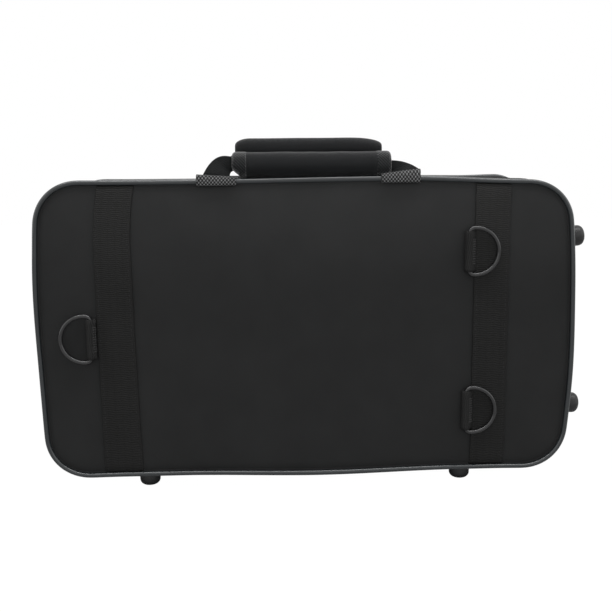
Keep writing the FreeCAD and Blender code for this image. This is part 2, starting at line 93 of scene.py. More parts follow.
@dataclass(frozen=True)
class CaseFrame:
    """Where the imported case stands, read from its piping. Sizes are millimetres about its middle."""

    middle: Vector
    half_width: float
    half_height: float
    half_depth: float
    piping: float

    @classmethod
    def read(cls) -> "CaseFrame":
        """Reads the frame.

        Returns:
            The case's middle and its half sizes.
        """
        low, back_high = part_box("back_piping")
        _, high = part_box("lid_piping")
        size = (high - low) / MM / 2
        return cls((low + high) / MM / 2, size.x, size.z, size.y, (back_high.y - low.y) / MM)

    def box(self, node: str) -> tuple[Vector, Vector]:
        """Reads a node's corners.

        Args:
            node: The CAD node's name.

        Returns:
            Its lowest and highest corner about the case's middle, in millimetres.
        """
        low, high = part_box(node)
        return low / MM - self.middle, high / MM - self.middle

    def to_row(self) -> Matrix:
        """The transform from case millimetres to row metres."""
        return Matrix.Scale(MM, 4) @ Matrix.Translation(self.middle)

    def row_point(self, x: float, y: float, z: float) -> Vector:
        """A place in row metres from case millimetres."""
        return self.to_row() @ Vector((x, y, z))


@dataclass(frozen=True)
class Outline:
    """The case's rounded outline: straight long edges, crowned ends and round corners."""

    half_width: float
    half_height: float
    radius: float = 31.0
    crown: float = 6.0

    @property
    def end_radius(self) -> float:
        """Radius of the crowned ends."""
        return (self.half_height ** 2 + self.crown ** 2) / (2 * self.crown)

    @property
    def end_x(self) -> float:
        """X of the right end's centre of curvature."""
        return self.half_width - self.end_radius

    @property
    def corner_z(self) -> float:
        """Z of the upper corners' centres."""
        return self.half_height - self.radius

    @property
    def corner_x(self) -> float:
        """X of the right corners' centres."""
        return self.end_x + math.sqrt((self.end_radius - self.radius) ** 2 - self.corner_z ** 2)

    @property
    def lean(self) -> float:
        """Angle of the end's arc between the end's middle and the corner."""
        return math.atan2(self.corner_z, self.corner_x - self.end_x)

    def nearest(self, x: float, z: float) -> tuple[float, Vector]:
        """Measures a place against the outline.

        Args:
            x: Place along the case.
            z: Place up the case.

        Returns:
            How far it lies inside, in millimetres, and the outward direction there.
        """
        right, up = math.copysign(1, x), math.copysign(1, z)
        x, z = abs(x), abs(z)
        dx, dz = x - self.corner_x, z - self.corner_z
        if dx > 0 and dz > dx * math.tan(self.lean):
            away = math.hypot(dx, dz)
            return self.radius - away, Vector((right * dx / away, 0, up * dz / away))
        away = math.hypot(x - self.end_x, z)
        by_end, by_edge = self.end_radius - away, self.half_height - z
        if by_edge <= by_end and dx <= 0:
            return by_edge, Vector((0, 0, up))
        return by_end, Vector((right * (x - self.end_x) / away, 0, up * z / away))

    def inside(self, x: float, z: float) -> float:
        """How far a place lies inside the outline, in millimetres."""
        return self.nearest(x, z)[0]

    def outward(self, place: Vector) -> Vector:
        """The outward direction of the outline nearest to a place."""
        return self.nearest(place.x, place.z)[1]

    def loop(self, inset: float, count: int) -> list[Vector]:
        """Draws the whole outline.

        Args:
            inset: How far it is drawn in.
            count: How many places it has.

        Returns:
            The loop of places.
        """
        quarter = sum(self.lengths(inset))
        half = count // 2
        right = [self.place(2 * quarter * i / half, inset)[0] for i in range(half + 1)]
        return right + [p * Vector((-1, 1, 1)) for p in reversed(right[1:-1])]

    def reach(self, z: float, inset: float) -> float:
        """Measures the outline's half width at a height.

        Args:
            z: The height.
            inset: How far the outline is drawn in.

        Returns:
            The half width.
        """
        z = abs(z)
        radius = self.radius - inset
        if z <= self.corner_z + radius * math.sin(self.lean):
            return self.end_x + math.sqrt((self.end_radius - inset) ** 2 - z ** 2)
        return self.corner_x + math.sqrt(max(radius ** 2 - (z - self.corner_z) ** 2, 0))

    def fitted(self, u: float, v: float, inset: float) -> Point:
        """Maps a unit square onto the outline, keeping its grid smooth.

        Args:
            u: Share of the way from the middle to the right end, from -1 to 1.
            v: Share of the way from the middle to the top, from -1 to 1.
            inset: How far the outline is drawn in.

        Returns:
            X and Z in millimetres.
        """
        radius = self.radius - inset
        x = abs(u) * (self.corner_x + radius)
        z = abs(v) * (self.half_height - inset)
        s, t = (x - self.corner_x) / radius, (z - self.corner_z) / radius
        if s > 0 and t > 0:
            shrink = max(s, t) / math.hypot(s, t)
            x = self.corner_x + s * shrink * radius
            z = self.corner_z + t * shrink * radius
        rise = max(z - self.corner_z, 0)
        plain = self.corner_x + math.sqrt(max(radius ** 2 - rise ** 2, 0))
        x *= self.reach(z, inset) / plain
        return math.copysign(x, u), math.copysign(z, v)

    def lengths(self, inset: float) -> tuple[float, float, float]:
        """Lengths of a quarter's straight run, corner and end, drawn in by inset."""
        corner = (self.radius - inset) * (math.pi / 2 - self.lean)
        return self.corner_x, corner, (self.end_radius - inset) * self.lean

    def place(self, s: float, inset: float) -> tuple[Vector, Vector]:
        """Finds a place along the upper right quarter and on down the right end.

        Args:
            s: Distance from the top's middle, along the outline.
            inset: How far the outline is drawn in.

        Returns:
            The place and the outward direction there, in the XZ plane.
        """
        straight, corner, end = self.lengths(inset)
        quarter = straight + corner + end
        below = s > quarter
        s = 2 * quarter - s if below else s
        if s <= straight:
            point, out = Vector((s, 0, self.half_height - inset)), Vector((0, 0, 1))
        elif s <= straight + corner:
            turn = (s - straight) / (self.radius - inset)
            out = Vector((math.sin(turn), 0, math.cos(turn)))
            point = Vector((self.corner_x, 0, self.corner_z)) + out * (self.radius - inset)
        else:
            turn = (quarter - s) / (self.end_radius - inset)
            out = Vector((math.cos(turn), 0, math.sin(turn)))
            point = Vector((self.end_x, 0, 0)) + out * (self.end_radius - inset)
        if below:
            point.z, out.z = -point.z, -out.z
        return point, out

    def along(self, x: float, z: float) -> float:
        """Measures along the outline from the middle of its top or bottom.

        Args:
            x: Place along the case.
            z: Place up the case.

        Returns:
            The distance.
        """
        x, z = abs(x), abs(z)
        straight, corner, end = self.lengths(0)
        if x <= self.corner_x:
            return x
        turn = math.atan2(x - self.corner_x, z - self.corner_z) if z > self.corner_z else math.pi
        if turn <= math.pi / 2 - self.lean:
            return straight + turn * self.radius
        return straight + corner + end - math.atan2(z, x - self.end_x) * self.end_radius


@dataclass
class Sweep:
    """Runs a flat section round the case's outline with spins and mirrors."""

    outline: Outline
    straight_steps: int = 24
    corner_steps: int = 12
    end_steps: int = 10

    def quarter(self, bm: bmesh.types.BMesh, section: Sequence[Point], straight: bool, below: bool) -> None:
        """Adds one quarter of the ring to the draft.

        Args:
            bm: The draft mesh.
            section: A closed section as (inset, y) points.
            straight: Whether the quarter has its straight run.
            below: Whether it is a lower quarter.
        """
        line = self.outline
        x0 = 0 if straight else line.corner_x
        verts = [bm.verts.new((x0, y, line.half_height - inset)) for inset, y in section]
        geom: list = verts + [bm.edges.new(pair) for pair in zip(verts, verts[1:] + verts[:1])]
        made = set(verts)
        runs = [
            ((line.corner_x, 0, line.corner_z), math.pi / 2 - line.lean, (0, 0, 0), self.corner_steps),
            ((line.end_x, 0, 0), line.lean, (0, 0, 0), self.end_steps),
        ]
        if straight:
            runs.insert(0, ((0, 0, 0), 0.0, (line.corner_x / self.straight_steps, 0, 0), self.straight_steps))
        before = set(bm.verts)
        for centre, angle, step, steps in runs:
            spun = bmesh.ops.spin(
                bm, geom=geom, cent=centre, axis=(0, 1, 0), angle=angle, dvec=step, steps=steps
            )
            geom = [g for g in spun["geom_last"] if not isinstance(g, bmesh.types.BMFace)]
        made |= set(bm.verts) - before
        if below:
            bmesh.ops.scale(bm, vec=(1, 1, -1), verts=list(made))

    def whole(self, section: Sequence[Point], bottom: bool = True) -> bmesh.types.BMesh:
        """Makes the ring on all sides, or without the bottom's straight run.

        Args:
            section: A closed section as (inset, y) points.
            bottom: Whether the ring runs along the bottom too.

        Returns:
            The ring, in case millimetres.
        """
        bm = bmesh.new()
        self.quarter(bm, section, True, False)
        self.quarter(bm, section, bottom, True)
        bmesh.ops.remove_doubles(bm, verts=bm.verts[:], dist=WELD)
        bmesh.ops.mirror(bm, geom=bm.verts[:] + bm.edges[:] + bm.faces[:], merge_dist=WELD, axis="X")
        close_holes(bm)
        return bm

    def spine(self, section: Sequence[Point]) -> bmesh.types.BMesh:
        """Makes only the straight run along the bottom.

        Args:
            section: A closed section as (inset, y) points.

        Returns:
            The run, in case millimetres.
        """
        bm = bmesh.new()
        line = self.outline
        verts = [bm.verts.new((-line.corner_x, y, inset - line.half_height)) for inset, y in section]
        edges = [bm.edges.new(pair) for pair in zip(verts, verts[1:] + verts[:1])]
        steps = 2 * self.straight_steps
        push(bm, verts + edges, Vector((2 * line.corner_x, 0, 0)), steps)
        close_holes(bm)
        return bm


def push(bm: bmesh.types.BMesh, geom: list, along: Vector, steps: int) -> list:
    """Extrudes a section along a vector in even steps.

    Args:
        bm: The draft mesh.
        geom: The section's vertices and edges.
        along: The whole move.
        steps: How many rings the move has.

    Returns:
        The last ring's vertices and edges.
    """
    spun = bmesh.ops.spin(bm, geom=geom, axis=(0, 0, 1), angle=0.0, dvec=along / steps, steps=steps)
    return [g for g in spun["geom_last"] if not isinstance(g, bmesh.types.BMFace)]


def close_holes(bm: bmesh.types.BMesh) -> None:
    """Closes every open end of a draft with a face."""
    rim = [edge for edge in bm.edges if edge.is_boundary]
    if rim:
        bmesh.ops.holes_fill(bm, edges=rim, sides=0)


def section_ring(centre: Point, radius: float, count: int) -> list[Point]:
    """A round section as (inset, y) points."""
    turns = [2 * math.pi * i / count for i in range(count)]
    return [(centre[0] + radius * math.cos(t), centre[1] + radius * math.sin(t)) for t in turns]


def lathe(bm: bmesh.types.BMesh, profile: Iterable[Point], steps: int) -> None:
    """Turns a profile about the X axis into a closed solid.

    Args:
        bm: The draft mesh.
        profile: Points as (x, radius), from axis to axis.
        steps: How many faces go round.
    """
    verts = [bm.verts.new((x, 0, radius)) for x, radius in profile]
    edges = [bm.edges.new(pair) for pair in zip(verts, verts[1:])]
    bmesh.ops.spin(
        bm, geom=verts + edges, cent=(0, 0, 0), axis=(1, 0, 0), angle=2 * math.pi, steps=steps, use_merge=True
    )
    bmesh.ops.remove_doubles(bm, verts=bm.verts[:], dist=WELD)


def held(value: float) -> float:
    """Holds a value between 0 and 1."""
    return min(max(value, 0), 1)


def eased(share: float) -> float:
    """Turns an even rise from 0 to 1 into one that starts and ends gently."""
    return share * share * (3 - 2 * share)


@dataclass(frozen=True)
class Edge:
    """A stretch of the soft case's edge, and how it stands off its own line."""

    out: float
    middle: float
    run: float

    def at(self, along: float) -> float:
        """How far the edge stands out at a place along it."""
        return self.out * eased(held(1 - abs(along - self.middle) / self.run))


@dataclass(frozen=True)
class Give:
    """How the soft case has given: its edges and its corners stand a little off their lines.

    The corners are the upper left, upper right, lower left and lower right one.
    """

    top: Edge = Edge(1.5, 60.0, 150.0)
    bottom: Edge = Edge(2.0, 8.0, 95.0)
    left: Edge = Edge(-1.3, -25.0, 70.0)
    right: Edge = Edge(1.0, -40.0, 62.0)
    droop: Edge = Edge(-1.9, 142.0, 80.0)
    droop_back: float = 28.0
    droop_run: float = 16.0
    perk: Edge = Edge(1.4, 158.0, 40.0)
    perk_run: float = 38.0
    press: Edge = Edge(-2.4, 4.0, 85.0)
    press_y: float = -37.0
    press_run: float = 9.0
    depth: float = 45.0
    reach: float = 42.0
    corners: tuple[float, float, float, float] = (0.7, -0.3, 0.9, 1.0)
    diagonal: float = 0.7

    def shift(self, place: Vector, line: Outline) -> Vector:
        """Works out how far a place moves.

        Args:
            place: The place, in case millimetres.
            line: The case's outline.

        Returns:
            The move.
        """
        up = 1 if place.z > 0 else -1
        near = held(1 - (line.half_height - abs(place.z)) / self.depth)
        edge = self.top if up > 0 else self.bottom
        rise = edge.at(place.x)
        if up > 0:
            front = held((-self.droop_back - place.y) / self.droop_run)
            rear = held(place.y / self.perk_run)
            under = held(1 - abs(place.y - self.press_y) / self.press_run)
            rise += self.droop.at(place.x) * front + self.perk.at(place.x) * rear
            rise += self.press.at(place.x) * under
        right = 1 if place.x > 0 else -1
        side = held(1 - (line.half_width - abs(place.x)) / self.depth)
        end = self.right if right > 0 else self.left
        move = Vector((right * end.at(place.z) * side * side, 0, up * rise * near * near))
        pull = self.corners[(0 if up > 0 else 2) + (0 if right < 0 else 1)]
        tip = line.radius * self.diagonal
        away = math.hypot(abs(place.x) - line.corner_x - tip, abs(place.z) - line.corner_z - tip)
        pull *= eased(held(1 - away / self.reach)) * self.diagonal
        return move + Vector((right, 0, up)) * pull


@dataclass
class Workshop:
    """Turns drafts in case millimetres into finished pieces of the scene."""

    case: CaseFrame
    line: Outline
    materials: dict["Finish", bpy.types.Material]
    give: Give = field(default_factory=Give)
    made: list[str] = field(default_factory=list)

    def finish(
        self,
        bm: bmesh.types.BMesh,
        name: str,
        finish: "Finish",
        body: str | None,
        nodes: Sequence[str] = (),
        uv: UvRule | None = None,
        levels: int = 0,
        soft: bool = True,
        slot: str | None = None,
    ) -> bpy.types.Object:
        """Finishes one piece and seats it on its body.

        Args:
            bm: The draft in case millimetres. It is freed.
            name: The piece's name.
            finish: Its finish.
            body: The body it rides on, or None to leave it on none.
            nodes: The CAD nodes that it stands for.
            uv: A rule from a corner and its face's centre to a surface place in millimetres.
            levels: Subdivision levels.
            soft: Whether the piece gives with the cloth.
            slot: The record's material slot, where it isn't the finish's own; not used.

        Returns:
            The piece.
        """
        bmesh.ops.recalc_face_normals(bm, faces=bm.faces[:])
        if uv is not None:
            layer = bm.loops.layers.uv.new("surface")
            for face in bm.faces:
                centre = face.calc_center_median()
                for loop in face.loops:
                    loop[layer].uv = uv(loop.vert.co, centre)
        for face in bm.faces:
            face.smooth = True
        if soft:
            for vert in bm.verts:
                vert.co += self.give.shift(vert.co, self.line)
        bm.transform(self.case.to_row())
        mesh = bpy.data.meshes.new(name)
        bm.to_mesh(mesh)
        bm.free()
        piece = bpy.data.objects.new(name, mesh)
        bpy.context.scene.collection.objects.link(piece)
        mesh.materials.append(self.materials[finish])
        if levels:
            smoother = piece.modifiers.new("smoother", "SUBSURF")
            smoother.levels = levels
            smoother.render_levels = levels
        if body is not None:
            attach(piece, body)
        if nodes:
            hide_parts(*nodes)
        slot or finish.slot
        self.made.append(name)
        LOG.info("made %s with %d faces", name, len(mesh.polygons))
        return piece

    def sharpen(self, piece: bpy.types.Object, degrees: float) -> None:
        """Marks the edges that turn by more than an angle as sharp, so they shade crisply."""
        bm = bmesh.new()
        bm.from_mesh(piece.data)
        limit = math.radians(degrees)
        for edge in bm.edges:
            edge.smooth = not (edge.is_manifold and edge.calc_face_angle(0) > limit)
        bm.to_mesh(piece.data)
        bm.free()


@dataclass(frozen=True)
class Knit:
    """A shader node group with named inputs and one output, built once and used by many finishes."""

    name: str
    inputs: tuple[tuple[str, float], ...]
    output: str

    def start(self) -> tuple["Wiring", bpy.types.Node, bpy.types.Node]:
        """Makes the group's tree with its sockets.

        Returns:
            The group's wiring, and the nodes that stand for its inputs and its output.
        """
        tree = bpy.data.node_groups.new(self.name, "ShaderNodeTree")
        tree.interface.new_socket("Vector", in_out="INPUT", socket_type="NodeSocketVector")
        for name, value in self.inputs:
            socket = tree.interface.new_socket(name, in_out="INPUT", socket_type="NodeSocketFloat")
            socket.default_value = value
        tree.interface.new_socket(self.output, in_out="OUTPUT", socket_type="NodeSocketFloat")
        wire = Wiring(tree)
        return wire, wire.node("NodeGroupInput"), wire.node("NodeGroupOutput")


class Wiring:
    """Short calls for placing and joining shader nodes in one tree."""

    def __init__(self, tree: bpy.types.NodeTree) -> None:
        """Keeps the tree that the nodes go into."""
        self.tree = tree

    def node(self, kind: str, **values: object) -> bpy.types.Node:
        """Places a node and sets its properties."""
        made = self.tree.nodes.new(kind)
        for name, value in values.items():
            setattr(made, name, value)
        return made

    def link(self, source: bpy.types.NodeSocket, target: bpy.types.NodeSocket) -> None:
        """Joins two sockets."""
        self.tree.links.new(source, target)

    def math(self, operation: str, *terms: object) -> bpy.types.NodeSocket:
        """Places a Math node.

        Args:
            operation: What the node does.
            *terms: Sockets or plain numbers, in order.

        Returns:
            Its result.
        """
        made = self.node("ShaderNodeMath", operation=operation)
        for slot, term in zip(made.inputs, terms):
            if isinstance(term, (int, float)):
                slot.default_value = term
            else:
                self.link(term, slot)
        return made.outputs[0]

    def split(self, vector: bpy.types.NodeSocket) -> tuple[bpy.types.NodeSocket, bpy.types.NodeSocket]:
        """The X and Y of a vector."""
        made = self.node("ShaderNodeSeparateXYZ")
        self.link(vector, made.inputs[0])
        return made.outputs[0], made.outputs[1]


@dataclass(frozen=True)
class Effects:
    """The surface effects that the finishes share, one node group each."""

    plain: bpy.types.NodeTree
    herringbone: bpy.types.NodeTree
    mottle: bpy.types.NodeTree
    grain: bpy.types.NodeTree
    diamond: bpy.types.NodeTree
    # The group that paints light onto the cloth near the case's top.
    fade: bpy.types.NodeTree

    @classmethod
    def build(cls) -> "Effects":
        """Builds every group once.

        Returns:
            The groups.
        """
        return cls(
            cls.plain_weave(), cls.herringbone_weave(), cls.mottling(), cls.leather_grain(),
            cls.diamond_weave(), cls.painted_top_light(),
        )

    @staticmethod
    def diamond_weave() -> bpy.types.NodeTree:
        """Raised knots in staggered rows, as on coarse basket-woven webbing.

        Returns:
            A group from a surface place and a pitch to a height.
        """
        wire, inlet, outlet = Knit("diamond_weave", (("Pitch", 1.9),), "Height").start()
        x, y = wire.split(inlet.outputs["Vector"])
        steepness = 2.5
        turn = wire.math("DIVIDE", 2 * math.pi, inlet.outputs["Pitch"])
        waves = wire.math(
            "MULTIPLY", wire.math("COSINE", wire.math("MULTIPLY", x, turn)),
            wire.math("COSINE", wire.math("MULTIPLY", y, turn)),
        )
        steep = wire.math("TANH", wire.math("MULTIPLY", waves, steepness))
        wire.link(wire.math("MULTIPLY_ADD", steep, 0.5, 0.5), outlet.inputs["Height"])
        return wire.tree

    @staticmethod
    def painted_top_light() -> bpy.types.NodeTree:
        """Cloth painted paler near the case's top and towards its middle: painted light from the lamp above.

        Returns:
            A group from a place and an amount to a factor from 1 upwards.
        """
        wire, inlet, outlet = Knit("painted_top_light", (("Amount", 0.3),), "Factor").start()
        parts = wire.node("ShaderNodeSeparateXYZ")
        wire.link(inlet.outputs["Vector"], parts.inputs[0])
        ramp = wire.node("ShaderNodeMapRange", interpolation_type="SMOOTHSTEP")
        # Painted light: the factor brightens the colour towards the top and the middle, where the lamp above
        # falls.
        start_height, full_height = 130.0, 204.0
        brightest_x, half_run, end_loss = 15.0, 260.0, 0.75
        ramp.inputs["From Min"].default_value = start_height
        ramp.inputs["From Max"].default_value = full_height
        wire.link(parts.outputs[2], ramp.inputs["Value"])
        across = wire.math("DIVIDE", wire.math("SUBTRACT", parts.outputs[0], brightest_x), half_run)
        loss = wire.math("MINIMUM", wire.math("MULTIPLY", across, across), end_loss)
        pale = wire.math("MULTIPLY", ramp.outputs[0], wire.math("SUBTRACT", 1.0, loss))
        rise = wire.math("MULTIPLY", pale, inlet.outputs["Amount"])
        wire.link(wire.math("ADD", rise, 1.0), outlet.inputs["Factor"])
        return wire.tree

    @staticmethod
    def plain_weave() -> bpy.types.NodeTree:
        """Threads that pass over and under one another.

        Returns:
            A group from a surface place and a pitch to a height.
        """
        wire, inlet, outlet = Knit("plain_weave", (("Pitch", 0.6),), "Height").start()
        x, y = wire.split(inlet.outputs["Vector"])
        u = wire.math("DIVIDE", x, inlet.outputs["Pitch"])
        v = wire.math("DIVIDE", y, inlet.outputs["Pitch"])
        warp = wire.math("ABSOLUTE", wire.math("SINE", wire.math("MULTIPLY", u, math.pi)))
        weft = wire.math("ABSOLUTE", wire.math("SINE", wire.math("MULTIPLY", v, math.pi)))
        square = wire.math("ADD", wire.math("FLOOR", u), wire.math("FLOOR", v))
        over = wire.math("PINGPONG", square, 1.0)
        under = wire.math("SUBTRACT", 1.0, over)
        height = wire.math("ADD", wire.math("MULTIPLY", warp, over), wire.math("MULTIPLY", weft, under))
        wire.link(height, outlet.inputs["Height"])
        return wire.tree

    @staticmethod
    def herringbone_weave() -> bpy.types.NodeTree:
        """Slanted ribs that turn back at each column, as on woven webbing.

        Returns:
            A group from a surface place, a column width, a rib pitch and a slope to a height.
        """
        knobs = (("Column", 5.0), ("Pitch", 1.3), ("Slope", 0.6))
        wire, inlet, outlet = Knit("herringbone", knobs, "Height").start()
        x, y = wire.split(inlet.outputs["Vector"])
        rib_power, groove_power = 0.6, 0.09
        fold = wire.math("PINGPONG", x, inlet.outputs["Column"])
        slant = wire.math("ADD", y, wire.math("MULTIPLY", fold, inlet.outputs["Slope"]))
        turns = wire.math("MULTIPLY", wire.math("DIVIDE", slant, inlet.outputs["Pitch"]), math.pi)
        rib = wire.math("POWER", wire.math("ABSOLUTE", wire.math("SINE", turns)), rib_power)
        edge = wire.math("DIVIDE", fold, inlet.outputs["Column"])
        arch = wire.math("SINE", wire.math("MULTIPLY", edge, math.pi))
        groove = wire.math("POWER", arch, groove_power)
        wire.link(wire.math("MULTIPLY", rib, groove), outlet.inputs["Height"])
        return wire.tree

    @staticmethod
    def mottling() -> bpy.types.NodeTree:
        """Soft patches of lighter and darker cloth.

        Returns:
            A group from a place, a patch size and an amount to a factor about 1.
        """
        knobs = (("Size", 20.0), ("Amount", 0.2), ("Detail", 3.0))
        wire, inlet, outlet = Knit("mottling", knobs, "Factor").start()
        field_node = wire.node("ShaderNodeTexNoise")
        wire.link(inlet.outputs["Vector"], field_node.inputs["Vector"])
        wire.link(wire.math("DIVIDE", 1.0, inlet.outputs["Size"]), field_node.inputs["Scale"])
        wire.link(inlet.outputs["Detail"], field_node.inputs["Detail"])
        off_middle = wire.math("SUBTRACT", field_node.outputs[0], 0.5)
        swing = wire.math("MULTIPLY", off_middle, inlet.outputs["Amount"])
        wire.link(wire.math("ADD", wire.math("MULTIPLY", swing, 2.0), 1.0), outlet.inputs["Factor"])
        return wire.tree

    @staticmethod
    def leather_grain() -> bpy.types.NodeTree:
        """The fine pebbled grain of moulded rubber and vinyl.

        Returns:
            A group from a place and a cell size to a height.
        """
        wire, inlet, outlet = Knit("pebble_grain", (("Size", 0.8),), "Height").start()
        cells = wire.node("ShaderNodeTexVoronoi", feature="SMOOTH_F1")
        wire.link(inlet.outputs["Vector"], cells.inputs["Vector"])
        wire.link(wire.math("DIVIDE", 1.0, inlet.outputs["Size"]), cells.inputs["Scale"])
        wire.link(cells.outputs["Distance"], outlet.inputs["Height"])
        return wire.tree


class Weave(Enum):
    """The relief that a finish shows up close."""

    PLAIN = "plain"
    HERRINGBONE = "herringbone"
    DIAMOND = "diamond"
    GRAIN = "grain"
    NAP = "nap"


@dataclass(frozen=True)
class Finish:
    """One finish: its colours, its shine and the relief of its surface. Sizes are millimetres."""

    name: str
    slot: str
    colour: tuple[float, float, float]
    weave: Weave
    pitch: float
    depth: float
    roughness: float = 0.85
    specular: float = 0.2
    sheen: float = 0.0
    sheen_roughness: float = 0.4
    metallic: float = 0.0
    coat: float = 0.0
    column: float = 5.0
    slope: float = 0.6
    mottle_size: float = 25.0
    mottle_amount: float = 0.15
    thread_contrast: float = 0.35
    # How strongly painted light brightens the colour near the case's top.
    fade: float = 0.0
    darkest: float = 0.02
    rough_swing: float = 0.4
    on_surface: bool = True

    def build(self, effects: Effects) -> bpy.types.Material:
        """Makes the material.

        Args:
            effects: The shared node groups.

        Returns:
            The finished material.
        """
        material = bpy.data.materials.new(self.name)
        material.use_nodes = True
        material.diffuse_color = (*self.colour, 1)
        wire = Wiring(material.node_tree)
        shader = material.node_tree.nodes["Principled BSDF"]
        shader.inputs["Specular IOR Level"].default_value = self.specular
        shader.inputs["Sheen Weight"].default_value = self.sheen
        shader.inputs["Sheen Roughness"].default_value = self.sheen_roughness
        shader.inputs["Metallic"].default_value = self.metallic
        shader.inputs["Coat Weight"].default_value = self.coat
        places = wire.node("ShaderNodeTexCoord")
        solid = wire.node("ShaderNodeVectorMath", operation="SCALE")
        solid.inputs["Scale"].default_value = 1 / MM
        wire.link(places.outputs["Object"], solid.inputs[0])
        spot = places.outputs["UV"] if self.on_surface else solid.outputs[0]
        height = self.relief(wire, effects, spot, solid.outputs[0])
        patches = wire.node("ShaderNodeGroup", node_tree=effects.mottle)
        patches.inputs["Size"].default_value = self.mottle_size
        patches.inputs["Amount"].default_value = self.mottle_amount
        wire.link(solid.outputs[0], patches.inputs["Vector"])
        shade = wire.math("MULTIPLY", wire.math("SUBTRACT", height, 0.5), self.thread_contrast)
        shade = wire.math("MULTIPLY", wire.math("ADD", shade, 1.0), patches.outputs[0])
        shade = wire.math("MAXIMUM", shade, self.darkest)
        # Painted light: the colour is brightened towards the case's top and middle.
        if self.fade:
            painted_light = wire.node("ShaderNodeGroup", node_tree=effects.fade)
            painted_light.inputs["Amount"].default_value = self.fade
            wire.link(solid.outputs[0], painted_light.inputs["Vector"])
            shade = wire.math("MULTIPLY", shade, painted_light.outputs[0])
        tint = wire.node("ShaderNodeVectorMath", operation="SCALE")
        tint.inputs[0].default_value = self.colour
        wire.link(shade, tint.inputs["Scale"])
        wire.link(tint.outputs[0], shader.inputs["Base Color"])
        rough = wire.math("MULTIPLY", wire.math("SUBTRACT", patches.outputs[0], 1.0), self.rough_swing)
        rough = wire.math("ADD", rough, self.roughness)
        wire.link(wire.math("MINIMUM", rough, 1.0), shader.inputs["Roughness"])
        bump = wire.node("ShaderNodeBump")
        bump.inputs["Distance"].default_value = self.depth * MM
        wire.link(height, bump.inputs["Height"])
        wire.link(bump.outputs[0], shader.inputs["Normal"])
        return material

    def relief(
        self, wire: Wiring, effects: Effects, spot: bpy.types.NodeSocket, solid: bpy.types.NodeSocket
    ) -> bpy.types.NodeSocket:
        """Places the relief that this finish's weave asks for.

        Args:
            wire: The material's wiring.
            effects: The shared node groups.
            spot: The place on the surface.
            solid: The place in space, in millimetres.

        Returns:
            The height, from 0 to about 1.
        """
        if self.weave is Weave.NAP:
            pile = wire.node("ShaderNodeTexNoise")
            pile.inputs["Scale"].default_value = 1 / self.pitch
            pile.inputs["Detail"].default_value = 4
            wire.link(solid, pile.inputs["Vector"])
            return pile.outputs[0]
        trees = {
            Weave.PLAIN: effects.plain,
            Weave.HERRINGBONE: effects.herringbone,
            Weave.DIAMOND: effects.diamond,
            Weave.GRAIN: effects.grain,
        }
        group = wire.node("ShaderNodeGroup", node_tree=trees[self.weave])
        knob = "Size" if self.weave is Weave.GRAIN else "Pitch"
        group.inputs[knob].default_value = self.pitch
        if self.weave is Weave.HERRINGBONE:
            group.inputs["Column"].default_value = self.column
            group.inputs["Slope"].default_value = self.slope
        wire.link(spot, group.inputs["Vector"])
        return group.outputs[0]


# The cloth's colour is painted paler towards the top, as painted light from above.
CLOTH = Finish(
    "black_oxford_cloth", "cover_cloth", (0.0188, 0.0191, 0.0192), Weave.PLAIN, 0.55, 0.12,
    specular=0.05, fade=0.42,
)
VINYL = Finish(
    "black_vinyl_piping", "piping", (0.0115, 0.0142, 0.0158), Weave.GRAIN, 0.5, 0.02, roughness=0.3,
    specular=0.3, coat=0.85, on_surface=False, thread_contrast=0.1,
)
# The bands' colour is painted paler towards the top, as painted light from above.
WEBBING = Finish(
    "black_herringbone_webbing", "webbing", (0.0118, 0.0118, 0.0116), Weave.HERRINGBONE, 1.25, 0.3,
    column=4.72, slope=0.12, thread_contrast=0.55, specular=0.07, roughness=0.7, fade=0.6,
)
# Painted highlight: the patch webbing is black; its grey colour and the strong contrast of its diamond knots
# paint in the light from above on the fold.
DIAMOND = Finish(
    "black_diamond_webbing_painted_highlights", "webbing", (0.043, 0.0435, 0.044), Weave.DIAMOND, 2.25, 0.8,
    thread_contrast=3.4, specular=0.25, roughness=0.6, mottle_size=6.0, mottle_amount=0.35,
)
STRAP = Finish(
    "black_strap_webbing", "webbing", (0.0078, 0.0084, 0.0086), Weave.HERRINGBONE, 1.6, 0.35,
    column=2.5, slope=0.8, thread_contrast=0.9, specular=0.1, roughness=0.7,
    mottle_size=7.0, mottle_amount=0.35,
)
TAB = Finish(
    "black_ribbed_webbing", "webbing", (0.0125, 0.0125, 0.0124), Weave.HERRINGBONE, 1.1, 0.4,
    column=3.2, slope=0.25, thread_contrast=0.9, specular=0.12, roughness=0.65,
)
GRIP_CLOTH = Finish(
    "black_grip_cloth", "grip_cloth", (0.0078, 0.0084, 0.009), Weave.PLAIN, 0.5, 0.12, sheen=0.16,
    sheen_roughness=0.22, specular=0.1, roughness=0.45,
)
# Painted highlight: the hem tape is black like the grip; its colour is set a little paler than the grip's to
# stand in for the light on its top.
HEM = Finish(
    "black_hem_tape_painted_highlight", "grip_cloth", (0.0085, 0.0092, 0.0098), Weave.DIAMOND, 2.0, 0.4, sheen=0.5,
    sheen_roughness=0.2, specular=0.16, roughness=0.4, thread_contrast=0.7,
    mottle_size=4.0, mottle_amount=0.5,
)
ZIP_TAPE = Finish(
    "zip_tape_twill", "zip_tape", (0.014, 0.014, 0.0145), Weave.HERRINGBONE, 0.7, 0.12, column=40,
)
COIL = Finish(
    "nylon_coil", "zip_coil", (0.014, 0.014, 0.015), Weave.GRAIN, 0.4, 0.02, roughness=0.35,
    specular=0.5, on_surface=False, thread_contrast=0.1,
)
ENAMEL = Finish(
    "black_enamel", "black_hardware", (0.009, 0.009, 0.0095), Weave.GRAIN, 1.2, 0.01, roughness=0.18,
    specular=0.42, coat=0.5, on_surface=False, thread_contrast=0.1,
)
